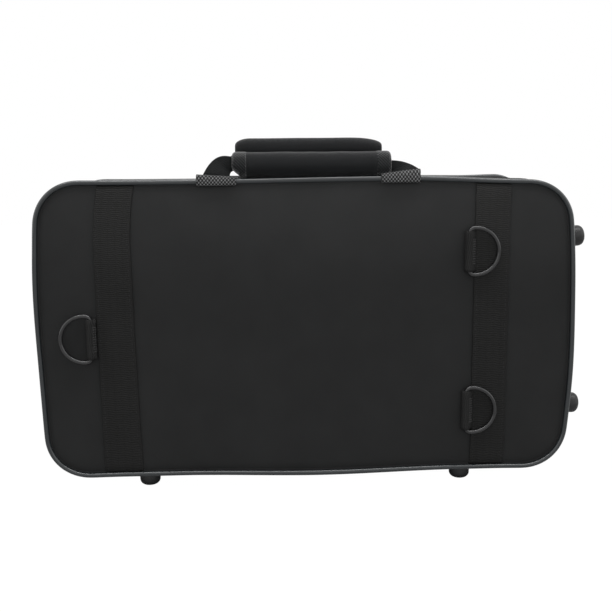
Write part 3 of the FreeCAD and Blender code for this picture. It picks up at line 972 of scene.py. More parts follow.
RUBBER = Finish(
    "moulded_rubber", "foot_rubber", (0.014, 0.0145, 0.015), Weave.GRAIN, 0.6, 0.03, roughness=0.42,
    specular=0.4, on_surface=False, thread_contrast=0.1,
)
ZINC = Finish(
    "zinc_plate", "zinc_steel", (0.6, 0.61, 0.63), Weave.GRAIN, 0.9, 0.01, roughness=0.35, metallic=1.0,
    specular=0.5, on_surface=False, thread_contrast=0.05,
)
BOARD = Finish(
    "black_stained_plywood", "board", (0.022, 0.021, 0.02), Weave.NAP, 3.0, 0.1,
    on_surface=False, thread_contrast=0.4,
)
THREAD = Finish(
    "sewing_thread", "webbing", (0.0165, 0.0165, 0.017), Weave.GRAIN, 0.3, 0.05, roughness=0.6, specular=0.15,
    on_surface=False, thread_contrast=0.3,
)
PALE_THREAD = Finish(
    "pale_sewing_thread", "webbing", (0.034, 0.034, 0.034), Weave.GRAIN, 0.3, 0.05,
    roughness=0.5, specular=0.2, on_surface=False, thread_contrast=0.3,
)
FOAM = Finish(
    "closed_cell_foam", "foam", (0.06, 0.06, 0.065), Weave.NAP, 0.8, 0.2, on_surface=False,
    thread_contrast=0.3,
)
PLUSH = Finish(
    "black_plush", "plush", (0.02, 0.02, 0.022), Weave.NAP, 0.5, 0.5, sheen=0.5, sheen_roughness=0.3,
    on_surface=False, thread_contrast=0.9, mottle_amount=0.3, mottle_size=12.0,
)


@dataclass
class Shell:
    """One half of the case: its panel, side wall and piping. Depths run in from the piping's front."""

    shop: Workshop
    outline: Outline
    side: Side
    depth: float
    cord: float = 3.4
    recess: float = 0.9
    panel_inset: float = 2.6
    seam_start: float = 3.9
    soft_dip: float = 0.9
    soft_run: float = 12.0
    seam_dip: float = 0.8
    seam_run: float = 1.6
    board_front: float = 3.7
    cell: float = 2.6
    wall_start: float = 2.6
    wall_inset: float = 1.8
    wall_swell: float = 0.35
    hem_reach: float = 9.0
    hem_thickness: float = 0.9
    piping_sides: int = 12

    def y(self, depth: float) -> float:
        """The Y of a depth on this side."""
        return self.side.inward * (depth - self.shop.case.half_depth)

    def panel_depth(self, x: float, z: float) -> float:
        """Works out how deep the panel's cloth lies: flat in the middle, drawn down at its seam.

        Args:
            x: Place along the case.
            z: Place up the case.

        Returns:
            Its depth behind the piping's front.
        """
        run = self.outline.inside(x, z) - self.seam_start
        soft = self.soft_dip * math.exp(-max(run, 0) / self.soft_run)
        return self.recess + soft + self.seam_dip * math.exp(-run / self.seam_run)

    def make_panel(self) -> bpy.types.Object:
        """Makes the padded cloth panel.

        Returns:
            The panel.
        """
        bm = bmesh.new()
        across = round(self.outline.half_width / self.cell)
        up = round(self.outline.half_height / self.cell)
        bmesh.ops.create_grid(bm, x_segments=2 * across, y_segments=2 * up, size=1)
        for vert in bm.verts:
            x, z = self.outline.fitted(vert.co.x, vert.co.y, self.panel_inset)
            vert.co = (x, self.y(self.panel_depth(x, z)), z)
        rim = [edge for edge in bm.edges if edge.is_boundary]
        walled = bmesh.ops.extrude_edge_only(bm, edges=rim)
        for vert in (g for g in walled["geom"] if isinstance(g, bmesh.types.BMVert)):
            vert.co.y = self.y(self.board_front)
        close_holes(bm)
        name = self.side.value + "_panel"
        piece = self.shop.finish(
            bm, name, CLOTH, self.side.body,
            (self.side.value + "_panel_cloth", self.side.value + "_panel_pad"),
            lambda co, centre: (co.x, co.z),
        )
        return piece

    def wall_section(self) -> list[Point]:
        """Draws the padded side wall's section, from the piping's seam to the hem on the zip's tape.

        Returns:
            The closed section, as (inset, y) points.
        """
        start, stop = self.wall_start, self.depth - self.hem_reach
        inner = self.wall_inset + self.hem_thickness
        outer = self.wall_inset
        swell = self.wall_swell
        return [
            (inner + 2.0, self.y(start)),
            (outer + 0.9, self.y(start)),
            (outer + 0.25, self.y(start + 1.6)),
            (outer - swell * 0.6, self.y(start + 5)),
            (outer - swell, self.y(start + 12)),
            (outer - swell, self.y((start + stop) / 2)),
            (outer - swell * 0.8, self.y(stop - 9)),
            (outer - swell * 0.2, self.y(stop - 3.4)),
            (outer + 0.05, self.y(stop - 2.8)),
            (outer - 0.1, self.y(stop - 1.6)),
            (outer + 0.1, self.y(stop - 0.3)),
            (outer + 0.45, self.y(stop)),
            (inner, self.y(stop - 0.2)),
            (inner, self.y(stop - 2.0)),
            (inner + 1.8, self.y(stop - 3.0)),
        ]

    def make_wall(self) -> bpy.types.Object:
        """Makes the padded cloth wall round the half.

        Returns:
            The wall.
        """
        bm = Sweep(self.outline).whole(self.wall_section())
        name = self.side.value
        piece = self.shop.finish(
            bm, name + "_side_wall", CLOTH, self.side.body,
            (name + "_gusset_cloth", name + "_side_pad"),
            lambda co, centre: (self.outline.along(co.x, co.z), co.y),
        )
        return piece

    def make_piping(self) -> bpy.types.Object:
        """Makes the cord piping in the seam round the panel.

        Returns:
            The piping.
        """
        radius = self.cord / 2
        bm = Sweep(self.outline).whole(section_ring((radius, self.y(radius)), radius, self.piping_sides))
        name = self.side.value + "_piping"
        return self.shop.finish(
            bm, name + "_cord", VINYL, self.side.body, (name,), levels=1
        )

    def build(self) -> None:
        """Makes the half's cloth and piping."""
        self.make_panel()
        self.make_wall()
        self.make_piping()


@dataclass(frozen=True)
class Bead:
    """A small repeated shape, such as a stitch or a zip tooth: a ball stretched to three sizes in mm."""

    length: float
    width: float
    height: float
    around: int = 6
    rings: int = 4

    def seat(self, place: Vector, along: Vector, out: Vector) -> Matrix:
        """Works out where one sits.

        Args:
            place: Its middle.
            along: The direction of its length.
            out: The direction of its height.

        Returns:
            The transform that puts a unit ball there.
        """
        along = along.normalized()
        side = out.cross(along).normalized()
        columns = (side * self.width / 2, side.cross(along) * self.height / 2, along * self.length / 2)
        return Matrix.Translation(place) @ Matrix(columns).transposed().to_4x4()

    def scatter(self, seats: Sequence[Matrix], batch: int = 32) -> bmesh.types.BMesh:
        """Makes one on every seat.

        Args:
            seats: Where they sit.
            batch: How many are drawn before they are put with the rest.

        Returns:
            A draft that holds them all.
        """
        whole = bmesh.new()
        for start in range(0, len(seats), batch):
            few = bmesh.new()
            for seat in seats[start:start + batch]:
                bmesh.ops.create_uvsphere(
                    few, u_segments=self.around, v_segments=self.rings, radius=1, matrix=seat
                )
            mesh = bpy.data.meshes.new("batch")
            few.to_mesh(mesh)
            few.free()
            whole.from_mesh(mesh)
            bpy.data.meshes.remove(mesh)
        return whole


STITCH = Bead(1.9, 0.5, 0.42)


def ribbon(path: Sequence[Point], thickness: float) -> list[Point]:
    """Gives a flat path a thickness, as the section of webbing that follows it.

    Args:
        path: The path's points.
        thickness: The webbing's thickness.

    Returns:
        The closed section.
    """
    points = [Vector(p) for p in path]
    left, right = [], []
    for i, point in enumerate(points):
        ahead = points[min(i + 1, len(points) - 1)] - points[max(i - 1, 0)]
        normal = Vector((-ahead.y, ahead.x)).normalized() * thickness / 2
        left.append(tuple(point + normal))
        right.append(tuple(point - normal))
    return left + right[::-1]


def loop_edges(bm: bmesh.types.BMesh, points: Iterable[Sequence[float]]) -> list[bmesh.types.BMEdge]:
    """Draws a closed loop of edges."""
    verts = [bm.verts.new(point) for point in points]
    return [bm.edges.new(pair) for pair in zip(verts, verts[1:] + verts[:1])]


def pushed_section(points: Sequence[Sequence[float]], along: Vector, steps: int) -> bmesh.types.BMesh:
    """Pushes a closed loop along a vector and closes both ends.

    Args:
        points: The loop.
        along: The whole move.
        steps: How many rings it has.

    Returns:
        The closed solid.
    """
    bm = bmesh.new()
    edges = loop_edges(bm, points)
    push(bm, bm.verts[:] + edges, along, steps)
    close_holes(bm)
    return bm


def skirt(
    bm: bmesh.types.BMesh,
    edges: list[bmesh.types.BMEdge],
    steps: Iterable[Point],
    outward: Callable[[Vector], Vector],
) -> list[bmesh.types.BMEdge]:
    """Extrudes a loop again and again, drawing it in or out and moving it in depth.

    Args:
        bm: The draft.
        edges: The loop's edges.
        steps: For each new loop, how far it is drawn in from the one before, and its Y.
        outward: The outward direction at a place on the loop.

    Returns:
        The last loop's edges.
    """
    for draw, y in steps:
        made = bmesh.ops.extrude_edge_only(bm, edges=edges)["geom"]
        fresh = {g for g in made if isinstance(g, bmesh.types.BMVert)}
        for vert in fresh:
            vert.co -= outward(vert.co) * draw
            vert.co.y = y
        edges = [g for g in made if isinstance(g, bmesh.types.BMEdge) and set(g.verts) <= fresh]
    return edges


@dataclass
class Band:
    """A webbing band sewn up the back panel."""

    shell: Shell
    node: str
    tuck: float = 2.8
    steps: int = 84
    press: float = 0.65
    press_run: float = 1.4
    stitch_inset: float = 2.0
    stitch_pitch: float = 3.3
    soft_edge: float = 0.35
    edge_wander: float = 0.18
    wander_across: float = 30.0
    wander_up: float = 14.0
    lean_top: float = 0.0
    lean_middle: float = 0.0
    lean_low: float = 0.0
    lean_run: float = 45.0
    widen: float = 0.0

    def drift(self, z: float) -> float:
        """Works out how far the band leans sideways.

        Args:
            z: Place up the band.

        Returns:
            The move along X.
        """
        half = self.shell.outline.half_height
        share = held((z - half + self.lean_run) / self.lean_run)
        fall = held(-z / half)
        rest = self.lean_middle + (self.lean_low - self.lean_middle) * fall
        return rest + (self.lean_top - self.lean_middle) * share * share

    def spread(self, x: float, z: float) -> float:
        """Works out how far a place moves sideways, as the band widens towards its lower end.

        Args:
            x: Place across the band.
            z: Place up the band.

        Returns:
            The move along X.
        """
        low, _ = self.shell.shop.case.box(self.node)
        share = (1 - z / self.shell.outline.half_height) / 2
        return (x - low.x) * self.widen * share

    def front(self, x: float, z: float, lift: float) -> float:
        """Works out the band's Y at a place.

        Args:
            x: Place along the case.
            z: Place up the case.
            lift: Height off the panel's cloth.

        Returns:
            The Y, pressed towards the panel at the seam.
        """
        run = self.shell.outline.inside(x, z) - self.tuck
        held = lift * (1 - self.press * math.exp(-max(run, 0) / self.press_run))
        return self.shell.y(self.shell.panel_depth(x, z) - held)

    def build(self) -> None:
        """Makes the band and its rows of stitches."""
        shop, side = self.shell.shop, self.shell.side
        low, high = shop.case.box(self.node)
        thick = high.y - low.y
        reach = self.shell.outline.half_height - self.tuck
        soft = self.soft_edge
        section = [
            (low.x, soft), (low.x + soft * 0.4, thick - soft * 0.4), (low.x + soft * 1.6, thick),
            (high.x - soft * 1.6, thick), (high.x - soft * 0.4, thick - soft * 0.4), (high.x, soft),
            (high.x - soft, 0), (low.x + soft, 0),
        ]
        bm = pushed_section([(x, lift, -reach) for x, lift in section], Vector((0, 0, 2 * reach)), self.steps)
        for vert in bm.verts:
            lift = vert.co.y
            spot = (low.x, vert.co.x / self.wander_across, vert.co.z / self.wander_up)
            wander = self.edge_wander * noise.noise(spot)
            vert.co.x += self.drift(vert.co.z) + self.spread(vert.co.x, vert.co.z) + wander
            vert.co.y = self.front(vert.co.x, vert.co.z, lift)
        shop.finish(
            bm, self.node + "_webbing", WEBBING, side.body, (self.node,),
            lambda co, centre: (co.x - low.x - self.drift(co.z), co.z),
        )
        seats = []
        out = Vector((0, -side.inward, 0))
        stop = reach - 1.5
        count = round(2 * stop / self.stitch_pitch)
        for x in (low.x + self.stitch_inset, high.x - self.stitch_inset):
            for i in range(count):
                z = -stop + (i + 0.5) * 2 * stop / count
                place = Vector((x + self.drift(z) + self.spread(x, z), self.front(x, z, thick - 0.05), z))
                seats.append(STITCH.seat(place, Vector((0.08, 0, 1)), out))
        name = self.node + "_stitches"
        shop.finish(STITCH.scatter(seats), name, THREAD, side.body)


@dataclass
class RingMount:
    """One D-ring and the folded webbing tab that holds its bar."""

    shop: Workshop
    name: str
    points_to: int
    wire: float = 2.8
    corner: float = 3.6
    fold_inner: float = 1.7
    webbing: float = 1.5
    tuck: float = 0.4
    fold_start: float = 80.0
    fold_sweep: float = 210.0
    fold_steps: int = 16
    wire_sides: int = 14
    press_share: float = 0.78
    wave: float = 0.25
    wave_run: float = 6.0
    crease: float = 0.12
    crease_run: float = 8.0
    stitch_pitch: float = 1.62
    tack_margin: float = 4.5
    bar_tack: Bead = Bead(2.3, 0.75, 0.5)
    bar_tack_share: float = 0.52
    edge_tack: Bead = Bead(1.1, 0.75, 0.5)
    edge_tack_share: float = 0.86

    @property
    def bar(self) -> Vector:
        """Finds the middle of the ring's bar.

        Returns:
            The place, in case millimetres.
        """
        low, high = self.shop.case.box("d_ring_" + self.name)
        end = low.x if self.points_to > 0 else high.x
        x = end + self.points_to * self.wire / 2
        return Vector((x, (low.y + high.y) / 2, (low.z + high.z) / 2))

    def make_ring(self) -> None:
        """Makes the round-wire ring: bar, tight corners and bow."""
        low, high = self.shop.case.box("d_ring_" + self.name)
        bow = (high.z - low.z) / 2 - self.wire / 2
        bow_x = high.x - low.x - self.wire - bow
        turns = [2 * math.pi * i / self.wire_sides for i in range(self.wire_sides)]
        bm = bmesh.new()
        ring = loop_edges(bm, [(math.cos(t) * self.wire / 2, math.sin(t) * self.wire / 2, 0) for t in turns])
        geom: list = bm.verts[:] + ring
        runs = [
            (Vector(), 0.0, Vector((0, 0, (bow - self.corner) / 6)), 6),
            (Vector((self.corner, 0, bow - self.corner)), math.pi / 2, Vector(), 5),
            (Vector(), 0.0, Vector(((bow_x - self.corner) / 2, 0, 0)), 2),
            (Vector((bow_x, 0, 0)), math.pi / 2, Vector(), 16),
        ]
        for centre, angle, step, steps in runs:
            spun = bmesh.ops.spin(
                bm, geom=geom, cent=centre, axis=(0, 1, 0), angle=angle, dvec=step, steps=steps
            )
            geom = [g for g in spun["geom_last"] if not isinstance(g, bmesh.types.BMFace)]
        bmesh.ops.mirror(bm, geom=bm.verts[:] + bm.edges[:] + bm.faces[:], merge_dist=WELD, axis="Z")
        bmesh.ops.remove_doubles(bm, verts=bm.verts[:], dist=WELD)
        bmesh.ops.scale(bm, vec=(self.points_to, 1, 1), verts=bm.verts[:])
        bmesh.ops.translate(bm, vec=self.bar, verts=bm.verts[:])
        body = "ring_" + self.name
        self.shop.finish(
            bm, body + "_wire", ENAMEL, body, ("d_ring_" + self.name,),
            soft=False,
        )

    def make_tab(self) -> None:
        """Makes the webbing folded round the bar, with its box of stitches."""
        low, high = self.shop.case.box("ring_tab_" + self.name)
        bar = self.bar
        middle = self.fold_inner + self.webbing / 2
        back_y = high.y - self.webbing * 0.4
        end_x = high.x + self.tuck
        front_y = high.y - self.webbing * 1.15
        steps = self.fold_steps
        turns = [math.radians(self.fold_start + self.fold_sweep * i / steps) for i in range(steps + 1)]
        wrap = [(bar.x + middle * math.cos(t), bar.y - middle * math.sin(t)) for t in turns]
        path = [(end_x, front_y), (end_x - 1.2, front_y - 0.25), *wrap]
        path += [(end_x - 1.5, back_y), (end_x, back_y)]
        section = ribbon(path, self.webbing * self.press_share)
        bm = pushed_section([(x, y, low.z) for x, y in section], Vector((0, 0, high.z - low.z)), 12)
        for vert in bm.verts:
            vert.co.z += self.wave * noise.noise(vert.co / self.wave_run)
            vert.co.y += self.crease * noise.noise(vert.co / self.crease_run + Vector((3, 1, 2)))

        def unrolled(co: Vector, centre: Vector) -> Point:
            """Unrolls the fold, so that the weave runs round it.

            Args:
                co: A corner's place.
                centre: Its face's middle.

            Returns:
                The place on the flat webbing.
            """
            side = 1 if centre.y > bar.y else -1
            if co.x > bar.x:
                return co.z - low.z, side * (middle * math.pi / 2 + co.x - bar.x)
            return co.z - low.z, middle * math.atan2(co.y - bar.y, bar.x - co.x)

        self.shop.finish(
            bm, "ring_tab_" + self.name + "_webbing", TAB, "back_shell",
            ("ring_tab_" + self.name,), unrolled,
        )
        seats = []
        out = Vector((0.2, -1, 0))
        count = round((high.z - low.z - 2 * self.tack_margin) / self.stitch_pitch)
        tacks = (self.bar_tack_share, self.bar_tack), (self.edge_tack_share, self.edge_tack)
        for share, bead in tacks:
            x = bar.x + (end_x - bar.x) * share
            y = bar.y - middle + (front_y - bar.y + middle) * share - self.webbing * 0.4
            for i in range(count):
                z = low.z + self.tack_margin + (i + 0.5) * self.stitch_pitch
                seats.append(bead.seat(Vector((x, y, z)), Vector((1, 0, 0.25)), out))
        bm = self.bar_tack.scatter(seats)
        name = "ring_tab_" + self.name + "_stitches"
        self.shop.finish(bm, name, PALE_THREAD, "back_shell")

    def build(self) -> None:
        """Makes the ring and its tab."""
        self.make_ring()
        self.make_tab()


@dataclass
class Feet:
    """The rubber feet of one half: two under it and two on its right end."""

    shell: Shell
    diameter: float = 14.5
    height: float = 12.5
    crown: float = 3.8
    setback: float = 17.0
    bottom_places: tuple[float, float] = (-110.6, 107.6)
    end_places: tuple[float, float] = (-57.4, 59.3)
    steps: int = 40
    crisp_turn: float = 50.0

    def profile(self) -> list[Point]:
        """Draws the foot's turned profile.

        Returns:
            Points from its base to its crown, as (height, radius).
        """
        radius = self.diameter / 2
        points = [(0.0, 0.0), (0.0, radius - 0.3), (0.3, radius), (1.6, radius), (1.9, radius - 0.25)]
        points += [(2.2, radius - 0.25), (2.5, radius - 0.05), (self.height - self.crown, radius - 0.2)]
        for i in range(1, 9):
            turn = math.pi / 2 * i / 8
            rise = self.height - self.crown + self.crown * math.sin(turn)
            points.append((rise, radius - 0.2 - self.crown * (1 - math.cos(turn))))
        return points + [(self.height, 1.4), (self.height - 0.25, 1.1), (self.height - 0.25, 0.0)]

    def make(self, bm: bmesh.types.BMesh, base: Vector, out: Vector) -> None:
        """Adds one foot to a draft, standing on a base and pointing out."""
        before = set(bm.verts)
        lathe(bm, self.profile(), self.steps)
        fresh = [vert for vert in bm.verts if vert not in before]
        turn = Vector((1, 0, 0)).rotation_difference(out).to_matrix().to_4x4()
        bmesh.ops.transform(bm, matrix=Matrix.Translation(base) @ turn, verts=fresh)

    def build(self) -> None:
        """Makes the half's four feet."""
        side, shop, case = self.shell.side, self.shell.shop, self.shell.outline
        y, inset = self.shell.y(self.setback), self.shell.wall_inset
        bottom = bmesh.new()
        for x in self.bottom_places:
            base = Vector((x, y, inset - case.half_height))
            self.make(bottom, base + shop.give.shift(base, case), Vector((0, 0, -1)))
        end = bmesh.new()
        reach = case.end_radius - inset
        for z in self.end_places:
            lean = math.asin(z / reach)
            out = Vector((math.cos(lean), 0, math.sin(lean)))
            base = Vector((case.end_x, y, 0)) + out * reach
            self.make(end, base + shop.give.shift(base, case), out)
        for bm, where in ((bottom, "bottom"), (end, "end")):
            node = side.value + "_" + where + "_feet"
            piece = shop.finish(
                bm, node + "_rubber", RUBBER, side.body, (node,), soft=False
            )
            shop.sharpen(piece, self.crisp_turn)


@dataclass(frozen=True)
class StrapShape:
    """How one end of a handle's webbing runs, as (out from the grip's end, up from the case's top) points.

    Each edge has four points, from the patch to the grip: its start, two that it leans towards, its end.
    """

    outer: tuple[Point, Point, Point, Point]
    inner: tuple[Point, Point, Point, Point]


@dataclass
class Handle:
    """One carrying handle: two patches, the webbing between them and the padded grip."""

    shell: Shell
    grip_in: float
    straps: tuple[StrapShape, StrapShape]
    lifts: tuple[float, float] = (0.4, 0.4)
    tapers: tuple[float, float] = (0.0, 0.0)
    taper_radius: float = 3.3
    patch_width: float = 25.5
    patch_webbing: float = 1.3
    patch_play: float = 0.15
    patch_drop: float = 4.2
    patch_reach: float = 6.0
    patch_steps: int = 14
    patch_wave: float = 0.35
    patch_wave_run: float = 7.0
    strap_thickness: float = 1.5
    strap_reach: float = 3.0
    strap_bow: float = 0.9
    grip_steps: int = 40
    hem_width: float = 9.3
    end_round: float = 2.6
    hem_rings: tuple[float, ...] = (3.6, 4.6, 5.6, 6.8)
    grip_wave: float = 0.22
    grip_wave_run: float = 14.0
    end_lift: float = 0.0
    lift_run: float = 9.0
    lift_power: float = 0.6

    @property
    def body(self) -> str:
        """The body that the swinging parts ride on."""
        return self.shell.side.value + "_handle"

    @property
    def pivot(self) -> Vector:
        """The middle of the piping that the handle turns about."""
        radius = self.shell.shop.case.piping / 2
        return Vector((0, self.shell.y(radius), self.shell.outline.half_height - radius))

    def patch_path(self) -> list[Point]:
        """Draws the patch's middle line over the piping.

        Returns:
            Points as (reach inward, height) about the pivot.
        """
        radius = self.pivot_radius
        flat = self.shell.outline.half_height - self.shell.wall_inset + self.patch_webbing / 2 - self.pivot.z
        low = self.shell.outline.half_height - self.patch_drop - self.pivot.z
        path = [(-radius, low), (-radius, low * 0.4)]
        stop = math.acos(flat / radius)
        for i in range(13):
            turn = -math.pi / 2 + (math.pi / 2 + stop) * i / 12
            path.append((radius * math.sin(turn), radius * math.cos(turn)))
        middle = (self.patch_reach + radius * math.sin(stop)) / 2
        return path + [(middle, flat), (self.patch_reach, flat)]

    @property
    def pivot_radius(self) -> float:
        """The radius of the patch's middle line round the piping."""
        return self.shell.shop.case.piping / 2 + self.patch_play + self.patch_webbing / 2

    def make_patches(self) -> None:
        """Makes the two webbing patches folded over the piping."""
        side, pivot, radius = self.shell.side, self.pivot, self.pivot_radius
        low, high = self.shell.shop.case.box(side.value + "_handle_patches")
        section = ribbon(self.patch_path(), self.patch_webbing)
        width = self.patch_width
        both = bmesh.new()
        for start, lift, hand in ((low.x, self.lifts[0], -1), (high.x - width, self.lifts[1], 1)):
            ring = [(start, pivot.y + side.inward * reach, pivot.z + rise) for reach, rise in section]
            bm = pushed_section(ring, Vector((width, 0, 0)), self.patch_steps)
            for vert in bm.verts:
                share = (vert.co.x - start) / width if hand > 0 else 1 - (vert.co.x - start) / width
                over = max(vert.co.z - pivot.z, 0) / radius
                vert.co.z += lift * share * over
                vert.co.x += self.patch_wave * noise.noise(vert.co / self.patch_wave_run)
            mesh = bpy.data.meshes.new("patch_draft")
            bm.to_mesh(mesh)
            bm.free()
            both.from_mesh(mesh)
            bpy.data.meshes.remove(mesh)

        def unrolled(co: Vector, centre: Vector) -> Point:
            """Unrolls the fold round the piping.

            Args:
                co: A corner's place.
                centre: Its face's middle, which this fold doesn't need.

            Returns:
                The place on the flat webbing.
            """
            reach, rise = side.inward * (co.y - pivot.y), co.z - pivot.z
            if rise < 0:
                return co.x, rise
            if reach > 1:
                return co.x, radius * math.pi / 2 + reach
            return co.x, radius * math.atan2(rise, -reach)

        # The patches' grey tone and light knots are painted highlight on black webbing.
        self.shell.shop.finish(
            both, side.value + "_patches", DIAMOND, side.body,
            (side.value + "_handle_patches",), unrolled,
        )

    def make_straps(self) -> None:
        """Makes the webbing that climbs from each patch into the grip's end."""
        side, pivot = self.shell.side, self.pivot
        low, high = self.shell.shop.case.box(side.value + "_grip_sleeve")
        top = self.shell.outline.half_height
        both = bmesh.new()
        for face, hand, shape in ((low.x, -1, self.straps[0]), (high.x, 1, self.straps[1])):
            across, along = 10, 22
            edges = [
                interpolate_bezier(*[Vector((*p, 0)) for p in edge], along + 1)
                for edge in (shape.outer, shape.inner)
            ]
            before = set(both.verts)
            bmesh.ops.create_grid(both, x_segments=across, y_segments=along, size=1)
            fresh = [vert for vert in both.verts if vert not in before]
            for vert in fresh:
                u, v = (vert.co.x + 1) / 2, (vert.co.y + 1) / 2
                i = round(v * along)
                point = edges[0][i].lerp(edges[1][i], u)
                reach = self.strap_reach + (self.grip_in - self.strap_reach) * eased(min(v * 2, 1))
                bow = self.strap_bow * math.sin(math.pi * u) * math.sin(math.pi * min(v * 1.2, 1))
                vert.co = (
                    face + hand * point.x,
                    pivot.y + side.inward * (reach - bow),
                    top + point.y,
                )
        bmesh.ops.solidify(both, geom=both.faces[:], thickness=self.strap_thickness)
        self.shell.shop.finish(
            both, side.value + "_handle_straps", STRAP, self.body,
            (side.value + "_handle_webbing",), lambda co, centre: (co.x, co.z), soft=False,
        )

    def hem_profile(self, radius: float) -> list[Point]:
        """Draws the turned profile of one hem.

        Args:
            radius: The grip's radius.

        Returns:
            Points from the grip's end inwards, as (distance, radius).
        """
        hem = radius + 0.35
        rings = [(1.1, 0.0), (1.1, hem - 3.4), (0.5, hem - 2.9)]
        for i in range(8):
            turn = math.pi / 2 * i / 7
            rise = self.end_round * math.sin(turn)
            rings.append((self.end_round * (1 - math.cos(turn)), hem - self.end_round + rise))
        edge = self.hem_width
        rings += [(distance, hem) for distance in self.hem_rings]
        return rings + [(edge - 0.5, hem), (edge, hem - 0.2), (edge, radius - 1.5), (edge, 0.0)]

    def grip_profile(self, length: float, radius: float) -> list[Point]:
        """The grip's turned profile along its length, from one end's middle to the other's.

        Args:
            length: The grip's length.
            radius: Its radius.

        Returns:
            Points as (distance from the left end, radius).
        """
        def end(taper: float) -> list[Point]:
            """Draws one end, from its middle outwards and along.

            Args:
                taper: How far along the end draws in to the webbing, or 0 for a plain end.

            Returns:
                Points as (distance from the end, radius).
            """
            if taper:
                rings = [(0.9, 0.0), (0.6, 1.6), (0.0, self.taper_radius)]
                for i in range(1, 10):
                    turn = math.pi / 2 * i / 9
                    rise = (radius - self.taper_radius) * math.sin(turn)
                    rings.append((taper * (1 - math.cos(turn)), self.taper_radius + rise))
                return rings
            start = self.hem_width - 1.5
            return [(start, 0.0), (start, radius - 0.6), (start + 0.6, radius)]

        left = end(self.tapers[0])
        right = [(length - x, r) for x, r in reversed(end(self.tapers[1]))]
        start, stop = left[-1][0], right[0][0]
        body = [(start + (stop - start) * i / 24, radius) for i in range(1, 24)]
        return left + body + right

    def make_grip(self) -> None:
        """Makes the padded grip with its hems."""
        side = self.shell.side
        low, high = self.shell.shop.case.box(side.value + "_grip_sleeve")
        radius = (high.z - low.z) / 2
        length = high.x - low.x
        bm = bmesh.new()
        lathe(bm, self.grip_profile(length, radius), self.grip_steps)
        place = Vector((low.x, (low.y + high.y) / 2, (low.z + high.z) / 2))
        self.soften(bm, radius)
        bmesh.ops.translate(bm, vec=place, verts=bm.verts[:])

        def unrolled(co: Vector, centre: Vector) -> Point:
            """Unrolls the grip's cloth round its axis.

            Args:
                co: A corner's place.
                centre: Its face's middle, which tells the seam's two sides apart.

            Returns:
                The place on the flat cloth.
            """
            turn = math.atan2(co.y - place.y, co.z - place.z)
            middle = math.atan2(centre.y - place.y, centre.z - place.z)
            turn += 2 * math.pi * round((middle - turn) / (2 * math.pi))
            return co.x, turn * radius

        hemmed = not any(self.tapers)
        nodes = [side.value + "_grip_sleeve", side.value + "_grip_core"]
        piece = self.shell.shop.finish(
            bm, side.value + "_grip", GRIP_CLOTH, self.body,
            nodes if hemmed else nodes + [side.value + "_grip_hems"], unrolled, soft=False,
        )
        if not hemmed:
            return
        hems = bmesh.new()
        lathe(hems, self.hem_profile(radius), self.grip_steps)
        bmesh.ops.mirror(
            hems, geom=hems.verts[:] + hems.edges[:] + hems.faces[:], merge_dist=0.0001, axis="X",
            matrix=Matrix.Translation((-length / 2, 0, 0)),
        )
        self.soften(hems, radius)
        bmesh.ops.translate(hems, vec=place, verts=hems.verts[:])
        self.shell.shop.finish(
            hems, side.value + "_hems", HEM, self.body,
            (side.value + "_grip_hems",), unrolled, soft=False,
        )

    def soften(self, bm: bmesh.types.BMesh, radius: float) -> None:
        """Makes a turned piece of the grip a little uneven, and lifts its left end's lower side.

        Args:
            bm: The draft, with the grip's left end at the origin.
            radius: The grip's radius.
        """
        for vert in bm.verts:
            spot = vert.co / self.grip_wave_run + Vector((7, 0, self.shell.side.inward))
            wave = self.grip_wave * noise.noise(spot)
            ring = math.hypot(vert.co.y, vert.co.z)
            if ring > 1:
                vert.co.y -= wave * vert.co.y / ring
                vert.co.z -= wave * vert.co.z / ring
            near = held(1 - vert.co.x / self.lift_run)
            low = held(-vert.co.z / radius)
            vert.co.z += self.end_lift * near ** self.lift_power * low

    def build(self) -> None:
        """Makes the whole handle."""
        self.make_patches()
        self.make_straps()
        self.make_grip()


